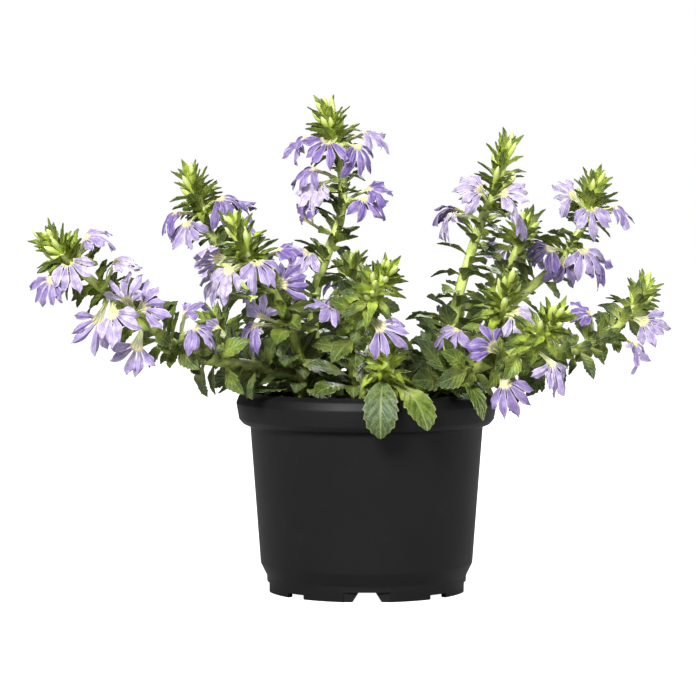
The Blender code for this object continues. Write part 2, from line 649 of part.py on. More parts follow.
def roomy_spray(node, name, route, room, below, blooms, opening):
    """The first of many nearby places and turns where the spray is clear of all else, or None."""
    swings_tried = swings(SPRAY_SWING, SPRAY_SWING_STEP)
    for shift, swing in [(a, b) for a in SPRAY_SHIFTS for b in swings_tried]:
        s = route.length - below - shift
        along = route.tangent(s)
        way = math.copysign(opening, np.cross(blooms[0][0], blooms[-1][0]) @ along)
        moved = []
        for k, (tube, middle) in enumerate(blooms):
            angle = swing + way * (k - (len(blooms) - 1) / 2)
            moved.append((turned(tube, along, angle), turned(middle, along, angle)))
        organ = spray(node, route, s, moved)
        samples = organ.samples()
        nearest = route.radius(s) + BLADE / 2 + 0.9 * SEAT_GAP
        if (lobes_apart(organ) and clear_of_pot(samples)
                and (away_from_line(samples, route.line) > nearest).all()
                and room.clear(organ, node, name)):
            return organ
    return None


def grow(kind, route, s, azimuth, lean, length, half_width, bend):
    """A bract, bud or leaf on its stem: azimuth is the way round the stem and lean the angle from it."""
    along = route.tangent(s)
    east = square_to((0.0, 1.0, 0.0) if abs(along[1]) < 0.9 else (1.0, 0.0, 0.0), along)
    out = turned(east, along, azimuth)
    lean = math.radians(lean)
    direction = math.cos(lean) * along + math.sin(lean) * out
    root = route.point(s) + out * 0.25 * route.radius(s)
    if kind == "bud":
        return bud(root, direction, length, half_width)
    outline = LEAF_OUTLINE if kind == "leaf" and length > SHORT_LEAF else BRACT_OUTLINE
    return blade(kind, root, direction, along, length, half_width, bend, outline)


def settle(room, name, variants, checks):
    """The first variant with room clear of the other nodes and apart from its own stem's organs, or
    else the first that is clear of the other nodes alone."""
    second = None
    for organ in variants:
        if room.clear(organ, name) and checks(organ):
            if room.apart(organ, name):
                room.add(organ, name)
                return organ
            second = second or organ
    if second:
        room.add(second, name)
    return second


def place_tip(name, stem, route, room, rng):
    """The crowded tip: buds first, then bracts that lean out more from the top down."""
    phase = rng.uniform(0, 2 * math.pi)
    wanted = []
    for k in range(stem["buds"]):
        share = (k + 0.8) / stem["buds"]
        s = route.length - 3.0 - share * (stem["tip"] - 4)
        wanted.append(("bud", s, phase + 1.1 + k * GOLDEN_ANGLE, between(BUD_LEAN, share),
                       between(BUD_LENGTH, share), between(BUD_RADIUS, share), 0))
    for k in range(stem["bracts"]):
        share = (k + 0.4) / stem["bracts"]
        s = route.length - 0.8 - share * (stem["tip"] - 2)
        wanted.append(("bract", s, phase + k * GOLDEN_ANGLE, between(BRACT_LEAN, share),
                       between(BRACT_LENGTH, share), between(BRACT_HALF_WIDTH, share),
                       between(BRACT_BEND, share)))
    made = []
    for kind, s, azimuth, lean, length, half, bend in wanted:
        variants = (grow(kind, route, s, azimuth + swing, lean * less, length, half, bend * less)
                    for swing in swings(60, 15) for less in (1.0, 0.75, 0.5))
        made.append(settle(room, name, variants, lambda o: clear_of_pot(o.samples())))
    return [o for o in made if o]


def place_broad_leaf(name, route, room, up, direction, length, half, bend):
    """A large leaf low on the plant, which arches over the rim."""
    root, along = route.point(up), route.tangent(up)

    def off_stem(organ):
        outer = organ.points[len(organ.points) // 2:]
        return (away_from_line(outer, route.line) > route.radius(up) + 0.6).all() and clear_of_pot(
            organ.samples())

    variants = (
        blade("broad", root, unit(np.array(direction) + (0, 0, math.sin(lift))), (0, 0, 1), length, half,
              bend * less, BROAD_OUTLINE)
        for lift in swings(40, 8) for less in (1.0, 0.85, 0.7, 0.5)
    )
    return settle(room, name, variants, off_stem)


def place_leaves(name, stem, route, room, rng):
    """Leaves spiral down the stem, longer lower down, and turn aside from what is already there."""
    count, shortest, longest = stem["leaves"]
    top = route.length - stem["tip"] - 1
    span = top - ROOTED - 4
    phase = rng.uniform(0, 2 * math.pi)
    made = []
    for k in range(count):
        share = (k + rng.uniform(0.2, 0.8)) / count
        s = top - share * span
        length = shortest + (longest - shortest) * share * rng.uniform(0.85, 1.1)
        lean, bend = rng.uniform(*LEAF_LEAN), rng.uniform(*LEAF_BEND)
        azimuth = phase + k * GOLDEN_ANGLE
        variants = (
            grow("leaf", route, s, azimuth + swing, lean * less, length, LEAF_HALF_WIDTH_SHARE * length,
                 bend * less)
            for swing in swings(160, 20) for less in (1.0, 0.8, 0.6)
        )
        made.append(settle(room, name, variants, lambda o: clear_of_pot(o.samples()[1:])))
    return [o for o in made if o]


def lay_out(stems):
    """Places every organ of the plant: {spray: its sheet}, {stem: organs} and {stem: route}."""
    routes = {name: Route(stem["root"], stem["route"]) for name, stem in stems.items()}
    room = Room(routes)
    blooms = place_sprays(stems, routes, room)
    green = {}
    for index, (name, stem) in enumerate(stems.items()):
        green[name] = place_tip(name, stem, routes[name], room, random.Random(SEED + index))
    for name, *shape in BROAD_LEAVES:
        leaf = place_broad_leaf(name, routes[name], room, *shape)
        green[name] += [leaf] if leaf else []
    for index, (name, stem) in enumerate(stems.items()):
        green[name] += place_leaves(name, stem, routes[name], room, random.Random(SEED * 7 + index))
    return blooms, green, routes


def clear_scene():
    for obj in list(bpy.data.objects):
        bpy.data.objects.remove(obj)


def collection(name):
    made = bpy.data.collections.new(name)
    bpy.context.scene.collection.children.link(made)
    return made


def material(name, colour, roughness):
    """A plain finish. The colour is red, green and blue from 0 to 1."""
    made = bpy.data.materials.new(name)
    made.use_nodes = True
    shader = made.node_tree.nodes["Principled BSDF"]
    shader.inputs["Base Color"].default_value = (*colour, 1.0)
    shader.inputs["Roughness"].default_value = roughness
    return made


def new_object(name, mesh, group):
    made = bpy.data.objects.new(name, mesh)
    group.objects.link(made)
    return made


def evaluated_mesh(obj):
    """The object's mesh with its modifiers applied."""
    bpy.context.view_layer.update()
    graph = bpy.context.evaluated_depsgraph_get()
    return bpy.data.meshes.new_from_object(obj.evaluated_get(graph))


def tidied(mesh, weld=0.0):
    """Welds loose caps, makes triangles of the faces and turns them all outwards."""
    body = bmesh.new()
    body.from_mesh(mesh)
    if weld:
        bmesh.ops.remove_doubles(body, verts=body.verts[:], dist=weld)
    bmesh.ops.triangulate(body, faces=body.faces[:])
    bmesh.ops.recalc_face_normals(body, faces=body.faces[:])
    body.to_mesh(mesh)
    body.free()
    return mesh


def organ_object(organ, group):
    """A bloom gets its thickness from Solidify. The others are already closed."""
    mesh = bpy.data.meshes.new(organ.kind)
    mesh.from_pydata([tuple(float(x) * MM for x in p) for p in organ.points], [], organ.faces)
    made = new_object(organ.kind, mesh, group)
    if organ.kind == "bloom":
        shell = made.modifiers.new("thickness", "SOLIDIFY")
        shell.thickness = BLADE * MM
        shell.offset = 0.0
        made.data = evaluated_mesh(made)
        made.modifiers.clear()
    tidied(made.data)
    return made


def keep_outer_body(mesh):
    """Drops the scraps that a union leaves inside or loose, and joins faces that lie in one plane."""
    body = bmesh.new()
    body.from_mesh(mesh)
    left, islands = set(body.verts), []
    while left:
        front = [left.pop()]
        island = set(front)
        while front:
            for link in front.pop().link_edges:
                for other in link.verts:
                    if other in left:
                        left.discard(other)
                        island.add(other)
                        front.append(other)
        islands.append(island)
    largest = max(islands, key=len)
    bmesh.ops.delete(body, geom=[v for i in islands if i is not largest for v in i], context="VERTS")
    bmesh.ops.dissolve_limit(body, angle_limit=math.radians(0.6), verts=body.verts[:],
                             edges=body.edges[:])
    bmesh.ops.triangulate(body, faces=body.faces[:])
    body.to_mesh(mesh)
    body.free()


def fused(name, first, organs, group, finish):
    """One object from a first mesh object and the organs that grow from it."""
    pieces = collection("pieces")
    for organ in organs:
        organ_object(organ, pieces)
    union = first.modifiers.new("fuse", "BOOLEAN")
    union.operation = "UNION"
    union.operand_type = "COLLECTION"
    union.collection = pieces
    union.solver = "MANIFOLD"
    mesh = evaluated_mesh(first)
    for piece in list(pieces.objects) + [first]:
        bpy.data.objects.remove(piece)
    bpy.data.collections.remove(pieces)
    keep_outer_body(mesh)
    mesh.materials.clear()
    mesh.materials.append(finish)
    return new_object(name, smooth(mesh), group)


def smooth(mesh):
    """Shades a mesh smooth, with its real edges sharp."""
    mesh.shade_smooth()
    mesh.set_sharp_from_angle(angle=SHARP)
    return mesh


def stem_tube(name, route, group):
    """The bare stem: a bevelled curve with filled caps, made a mesh and welded at its caps."""
    curve = bpy.data.curves.new(name, "CURVE")
    curve.dimensions = "3D"
    curve.bevel_depth = MM
    curve.bevel_resolution = 1
    curve.use_fill_caps = True
    spline = curve.splines.new("POLY")
    spline.points.add(len(route.at) - 1)
    for point, s in zip(spline.points, route.at):
        point.co = (*(route.point(s) * MM), 1.0)
        point.radius = route.radius(s)
    guide = new_object(name, curve, group)
    mesh = tidied(evaluated_mesh(guide), weld=0.00001)
    bpy.data.objects.remove(guide)
    return new_object(name, mesh, group)


def turned_solid(name, profile, steps, group, finish):
    """A closed turned body, from a profile of (radius, height) that runs up inside and down outside."""
    mesh = bpy.data.meshes.new(name)
    points = [(r * MM, 0.0, z * MM) for r, z in profile]
    mesh.from_pydata(points, [(k, k + 1) for k in range(len(points) - 1)], [])
    mesh.materials.append(finish)
    made = new_object(name, mesh, group)
    screw = made.modifiers.new("turn", "SCREW")
    screw.axis = "Z"
    screw.steps = screw.render_steps = steps
    screw.use_merge_vertices = True
    screw.merge_threshold = 0.00005
    return made


def cut(target, cutters):
    """Takes a collection of cutters out of the target."""
    hole = target.modifiers.new("cut", "BOOLEAN")
    hole.operation = "DIFFERENCE"
    hole.operand_type = "COLLECTION"
    hole.collection = cutters
    hole.solver = "EXACT"


def finish_cut(target):
    """Applies the cuts and shades the result smooth."""
    mesh = evaluated_mesh(target)
    target.modifiers.clear()
    target.data = smooth(mesh)


def as_cutter(obj):
    obj.hide_render = True
    obj.display_type = "WIRE"
    return obj


def foot_cutter(name, top, foot, inner, height, azimuth, group):
    """A block that cuts outwards through the foot: top and foot are its widths there."""
    body = bmesh.new()
    bmesh.ops.create_cube(body, size=1.0)
    outer, low = FOOT_OUTER + 6.0, -1.0
    for v in body.verts:
        width = top if v.co.z > 0 else foot
        radial = outer if v.co.x > 0 else inner
        across = width * v.co.y
        v.co = (MM * (radial * math.cos(azimuth) - across * math.sin(azimuth)),
                MM * (radial * math.sin(azimuth) + across * math.cos(azimuth)),
                MM * (height if v.co.z > 0 else low))
    mesh = bpy.data.meshes.new(name)
    body.to_mesh(mesh)
    body.free()
    return as_cutter(new_object(name, mesh, group))


def round_cutter(name, centre, radius, low, high, sides, group):
    """An upright round cutter."""
    body = bmesh.new()
    bmesh.ops.create_cone(body, cap_ends=True, segments=sides, radius1=radius * MM, radius2=radius * MM,
                          depth=(high - low) * MM)
    mesh = bpy.data.meshes.new(name)
    body.to_mesh(mesh)
    body.free()
    made = new_object(name, mesh, group)
    made.location = (centre[0] * MM, centre[1] * MM, (low + high) / 2 * MM)
    return as_cutter(made)


def make_pot(group, cutters, finish):
    """The nursery pot: a tapered body on a notched foot, with a rounded collar and drain holes."""
    inside = [(0.0, FLOOR_TOP), (48.2, FLOOR_TOP), (BODY_LOW[0] - WALL, 14.6),
              (BODY_TOP[0] - WALL, 83.2), (62.4, 86.6), (RIM_RADIUS - WALL, 94.0)]
    outside = [(RIM_TOP_RADIUS, POT_HEIGHT), (63.4, 97.9), (RIM_RADIUS, 94.0), (63.6, 85.9),
               (61.6, 83.6), BODY_TOP, BODY_LOW, (FOOT_OUTER + 0.2, FOOT_HEIGHT), (FOOT_OUTER, 0.0),
               (FOOT_INNER, 0.0), (FOOT_INNER - 0.4, FLOOR_UNDER), (0.0, FLOOR_UNDER)]
    pot = turned_solid("pot", inside + outside, POT_STEPS, group, finish)
    for quarter in range(4):
        azimuth = (quarter - 1) * math.pi / 2
        recess = FOOT_OUTER - NOTCH_DEPTH - 0.6
        foot_cutter("notch", NOTCH_WIDTH, NOTCH_WIDTH, recess, NOTCH_HEIGHT, azimuth, cutters)
        foot_cutter("arch", ARCH_TOP, ARCH_FOOT, FOOT_INNER - 4, NOTCH_HEIGHT - 0.3, azimuth, cutters)
        foot_cutter("slot", SLOT_WIDTH, SLOT_WIDTH, FOOT_INNER - 4, SLOT_HEIGHT, azimuth + math.pi / 4,
                    cutters)
        drain = (DRAIN_CIRCLE * math.cos(azimuth), DRAIN_CIRCLE * math.sin(azimuth))
        round_cutter("drain", drain, DRAIN_RADIUS, 2.0, 11.0, DRAIN_SIDES, cutters)
    cut(pot, cutters)
    finish_cut(pot)


def soil_height(x, y):
    """The soil's top: a low mound with lumps."""
    r = math.hypot(x, y)
    lumps = math.sin(0.31 * x + 1.3) * math.cos(0.27 * y - 0.4) + 0.6 * math.sin(0.55 * x - 0.47 * y)
    edge = min(1.0, max(0.0, (61.0 - r) / 8.0))
    return SOIL_LEVEL + SOIL_MOUND * (1 - (r / 62.0) ** 2) + SOIL_RELIEF * lumps * edge


def make_soil(group, cutters, finish, roots):
    """The filling of potting soil, with a hole for each stem."""
    g = SOIL_GAP
    wall = [(62.4 - g, 87.0), (BODY_TOP[0] - WALL - g - 0.1, 83.4), (BODY_LOW[0] - WALL - g, 14.6),
            (48.0 - g, FLOOR_TOP + g), (0.0, FLOOR_TOP + g)]
    top = [(r, SOIL_LEVEL) for r in (0.0, 18.0, 36.0, 53.0, RIM_RADIUS - WALL - g - 0.3)]
    soil = turned_solid("soil", top + wall, SOIL_STEPS, group, finish)
    mesh = evaluated_mesh(soil)
    soil.modifiers.clear()
    for vertex in mesh.vertices:
        if vertex.co.z > (SOIL_LEVEL - 1.0) * MM:
            vertex.co.z = soil_height(vertex.co.x / MM, vertex.co.y / MM) * MM
    soil.data = mesh
    flat = math.cos(math.pi / HOLE_SIDES)
    for root in roots:
        round_cutter("root_hole", root, (STEM_BASE_RADIUS + HOLE_GAP) / flat,
                     SOIL_TOP - ROOTED - HOLE_GAP, SOIL_TOP + 10, HOLE_SIDES, cutters)
    cut(soil, cutters)
    finish_cut(soil)


def build():
    clear_scene()
    plant = collection("potted_fan_flower")
    pot_cutters, soil_cutters = collection("pot_cutters"), collection("soil_cutters")
    workbench = collection("workbench")
    black = material("black_plastic", (0.012, 0.012, 0.013), 0.45)
    earth = material("potting_soil", (0.035, 0.020, 0.012), 0.95)
    green = material("leaf_green", (0.10, 0.20, 0.035), 0.5)
    lilac = material("lilac_petal", (0.42, 0.32, 0.80), 0.5)

    make_pot(plant, pot_cutters, black)
    make_soil(plant, soil_cutters, earth, [stem["root"] for stem in STEMS.values()])
    blooms, leafy, routes = lay_out(STEMS)
    for name, organs in leafy.items():
        fused(f"stem_{name}", stem_tube(name, routes[name], workbench), organs, plant, green)
    for node, organ in blooms.items():
        made = organ_object(organ, plant)
        made.name = node
        made.data.materials.append(lilac)
        smooth(made.data)
    bpy.data.collections.remove(workbench)


build()
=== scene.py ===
"""A potted fan flower (Scaevola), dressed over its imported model: a moulded nursery pot filled with
potting soil, leafy stems with crowded tips of bracts and buds, and lilac one-sided blooms.

The plan of the plant is the one its solids follow, so each fine leaf, bract, bud and bloom lies where its
solid does. Leaves and bracts past the limits of the solids are added after it. The plan's numbers are
millimetres and degrees. The pot stands on z = 0 with its axis on Z, and the front faces -Y.
"""

import math
import random
from functools import lru_cache

import bmesh
import bpy
import numpy as np
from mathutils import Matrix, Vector, noise
from mathutils.bvhtree import BVHTree


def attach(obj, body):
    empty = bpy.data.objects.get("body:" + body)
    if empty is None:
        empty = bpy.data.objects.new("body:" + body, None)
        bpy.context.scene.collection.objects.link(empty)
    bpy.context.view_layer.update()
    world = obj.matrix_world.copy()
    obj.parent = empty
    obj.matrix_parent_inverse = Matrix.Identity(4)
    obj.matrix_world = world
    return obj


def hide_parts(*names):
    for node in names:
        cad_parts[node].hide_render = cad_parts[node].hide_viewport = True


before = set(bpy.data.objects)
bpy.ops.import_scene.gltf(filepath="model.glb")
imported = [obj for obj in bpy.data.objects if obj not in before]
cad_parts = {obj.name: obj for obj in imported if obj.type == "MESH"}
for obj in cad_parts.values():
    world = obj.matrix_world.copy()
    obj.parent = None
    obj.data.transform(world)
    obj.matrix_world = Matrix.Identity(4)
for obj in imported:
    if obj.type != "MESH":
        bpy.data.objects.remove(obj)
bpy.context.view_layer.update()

bl_info = {
    "name": "Potted fan flower",
    "version": (1, 0, 0),
    "blender": (4, 5, 0),
    "location": "3D View > Sidebar > Fan flower",
    "description": "Builds a fan flower in a nursery pot, with its soil, leafy stems and blooms",
    "category": "Add Mesh",
}

MM = 0.001

# Pot
POT_HEIGHT = 100.0
RIM_RADIUS, RIM_TOP_RADIUS = 65.0, 60.0
WALL = 1.3
FLOOR_UNDER, FLOOR_TOP = 5.6, 7.0
FOOT_INNER, FOOT_OUTER, FOOT_HEIGHT = 46.6, 49.6, 7.6
BODY_LOW, BODY_TOP = (52.9, 14.0), (58.0, 82.1)
NOTCH_WIDTH, NOTCH_HEIGHT, NOTCH_DEPTH = 23.0, 4.9, 1.4
ARCH_TOP, ARCH_FOOT = 8.4, 15.5
SLOT_WIDTH, SLOT_HEIGHT = 11.0, 2.2
DRAIN_RADIUS, DRAIN_CIRCLE = 4.5, 33.0
# Its closed profile of (radius, height): inside from the axis up, then outside down to the axis
POT_PROFILE = (
    (0.0, FLOOR_TOP), (48.2, FLOOR_TOP), (BODY_LOW[0] - WALL, 14.6), (BODY_TOP[0] - WALL, 83.2),
    (62.4, 86.6), (RIM_RADIUS - WALL, 94.0), (RIM_TOP_RADIUS, POT_HEIGHT), (63.4, 97.9),
    (RIM_RADIUS, 94.0), (63.6, 85.9), (61.6, 83.6), BODY_TOP, BODY_LOW, (FOOT_OUTER + 0.2, FOOT_HEIGHT),
    (FOOT_OUTER, 0.0), (FOOT_INNER, 0.0), (FOOT_INNER - 0.4, FLOOR_UNDER), (0.0, FLOOR_UNDER),
)
# Corners: how far their easing reaches, the share of a side that it may take, and the bend shaded sharp
CORNER_EASE, EASE_SHARE, CORNER_SHARP = 0.5, 0.45, math.radians(35)
# Cutters: how far they reach past the foot, inside it and below it, how much deeper the flat face of a
# notch lies because the foot is round, and how much lower its arch ends
CUT_PAST, CUT_INSIDE, CUT_BELOW, NOTCH_FLAT, ARCH_BELOW = 6.0, 4.0, 1.0, 0.6, 0.3
# Those of the drains: their length, the height of their middle and their sides
DRAIN_CUT, DRAIN_MIDDLE, DRAIN_SIDES = 9.0, 6.5, 32

# Soil
SOIL_GAP = 0.4
SOIL_LEVEL, SOIL_MOUND, SOIL_RELIEF = 92.5, 2.5, 0.9
MOUND_RADIUS, LUMPS_END, LUMPS_FADE = 62.0, 61.0, 8.0
SOIL_TOP = 96.5
ROOTED = 22.0
# The filling's sides, from the top down to the axis, and the mesh of its top
SOIL_SIDES = (
    (RIM_RADIUS - WALL - SOIL_GAP - 0.3, SOIL_LEVEL), (62.4 - SOIL_GAP, 87.0),
    (BODY_TOP[0] - WALL - SOIL_GAP - 0.1, 83.4), (BODY_LOW[0] - WALL - SOIL_GAP, 14.6),
    (48.0 - SOIL_GAP, FLOOR_TOP + SOIL_GAP), (0.01, FLOOR_TOP + SOIL_GAP),
)
SOIL_STEPS, SOIL_RINGS = 144, 50
# Fine lumps of the top: their width and height, where and how soon they end at the wall, how rough they
# are, how much finer each size of them is, and how many sizes there are
CLOD_WIDTH, CLOD_HEIGHT, CLODS_END, CLODS_FADE = 3.5, 0.7, 63.0, 3.0
CLOD_NOISE = (0.6, 2.1, 5)
# Loose crumbs: how far out they lie, their radius, their form and how far their middle stands above the
# soil. A few are larger, and some are fibres.
CRUMBS_OUT, CRUMB_RADIUS = 61.0, (0.35, 1.25)
CRUMB_STRETCH, CRUMB_FLATNESS, CRUMB_ROUGH, CRUMB_ABOVE = (0.7, 1.3), (0.5, 0.9), 0.22, 0.25
LARGE_CRUMBS, LARGE_CRUMB = 0.1, 1.4
FIBRES, FIBRE_STRETCH, FIBRE_FLATNESS = 0.16, (2.5, 4.5), (0.6, 0.4)
# How pale the soil between the crumbs is, from 0 to 1
SOIL_PALENESS = 0.12

# Plant tissue
BLADE = 0.65
KEEL = 1.2
GAP = 0.3
SEAT_GAP, SEAT_REACH, SEAT_STEP, SEAT_SLACK = 0.15, 5.0, 0.1, 0.9
# How near to the pot's collar and to the soil's edge an organ may come, and how many such gaps it keeps
# inside the collar, outside it and above the soil
POT_CLEARANCE = 1.5
INSIDE_GAPS, OUTSIDE_GAPS, SOIL_GAPS = 2.5, 1.2, 0.5
# A stem's radius at its root and tip, how late it thins, and the room that it keeps round it
STEM_BASE_RADIUS, STEM_TIP_RADIUS, STEM_TAPER, STEM_ROOM = 2.7, 1.6, 1.5, 0.1
STEM_RING_SPACING = 17.0
GOLDEN_ANGLE = math.radians(137.5)
# How deep an organ's foot lies in its stem, as a share of the stem's radius
FOOT_SHARE = 0.25
SEED = 11
# The seeds of the leaves, and of what is added past the solids
LEAF_SEED, EXTRA_SEED = 7 * SEED, 31 * SEED
# How far up its stem from the soil the lowest leaf stands, and the lowest one past the solids
LEAVES_UP, EXTRA_UP = 4, 3
SHARP = math.radians(60)

# Room round an organ: how far its test copies swell past the margin asked, and where the outer part of
# a blade or bud begins, which keeps off the other organs of its own stem
SWELL, RIM_SWELL, OUTER_GAP = 1.3, 0.7, 0.05
BLADE_OUTER_FROM, BUD_OUTER_FROM = 0.3, 0.35

# Bloom: a slit tube that opens into five lobes on one side of its throat
TUBE_LENGTH = 11.5
TUBE_HALF_WIDTH = 0.85
BASE_BELOW, BASE_OVER, PAIR_OVER = 0.35, 0.6, 0.95
THROAT_RADIUS, THROAT_SPREAD = 3.0, 1.05
LOBES = 5
LOBE_LENGTH, LOBE_LENGTH_VARIES, SIDE_LOBE_LOSS = 14.6, (0.94, 1.06), 0.03
LOBE_HALF_WIDTH, LOBE_TIP_SHARE = 2.1, 0.55
LOBE_STEP, LOBE_STRAY = math.radians(30), 0.06
LOBE_SHOULDER = 0.78
TUBE_FACES = 7
LOBE_RISE = 0.5
REFLEX = (0.022, 0.048)
LOBE_TWIST = math.radians(32)
LOBE_GAP = 0.15

# Where a bloom looks for room: places along the stem, turns about it, and openings of a pair
SPRAY_SHIFTS = (0, 3, -3, 6, -6, 9, -9)
SPRAY_SWING, SPRAY_SWING_STEP = 84, 12
PAIR_OPENINGS = (0, 12, 24, 36, 48)

# The crowded tip of a stem, from its top to its lowest organ: degrees and millimetres. A spread is the
# first organ's share of a step, how far below the growing point the organs begin, and the length of tip
# that they leave free.
BUD_SPREAD, BRACT_SPREAD = (0.8, 3.0, 4), (0.4, 0.8, 2)
BUD_LEAN, BUD_LENGTH, BUD_RADIUS = (14, 32), (11.5, 14.5), (1.35, 1.6)
BUD_FOOT_RADIUS, BUD_WIDEST, BUDS_TURNED = 0.8, 0.62, 1.1
BRACT_LEAN, BRACT_BEND = (14, 72), (18, 66)
BRACT_LENGTH, BRACT_HALF_WIDTH = (12.5, 17.0), (2.3, 3.1)

# Leaves along a stem, drawn at random between these
LEAF_LEAN, LEAF_BEND = (50, 74), (45, 85)
LEAF_STRAY, LEAF_LENGTH_VARIES = (0.2, 0.8), (0.85, 1.1)
LEAF_HALF_WIDTH_SHARE = 0.24

# Outlines of blades between root and tip: (share of the length, share of the half width)
BRACT_OUTLINE = ((0.48, 1.0),)
LEAF_OUTLINE = ((0.56, 1.0), (0.64, 0.74))
SHORT_LEAF = 19.0
BROAD_OUTLINE = ((0.34, 0.55), (0.60, 1.0), (0.66, 0.84), (0.82, 0.78), (0.87, 0.52))

# How each kind of organ looks for room: the widest turn and its step in degrees, and the shares of its
# lean and bend that are tried at each turn
TIP_TRIES = (60, 15, (1.0, 0.75, 0.5))
LEAF_TRIES = (160, 20, (1.0, 0.8, 0.6))
EXTRA_TRIES = (160, 32, (1.0, 0.7))
BROAD_TRIES = (40, 8, (1.0, 0.85, 0.7, 0.5))
# How far the outer half of a large leaf keeps off its stem
BROAD_OFF_STEM = 0.6

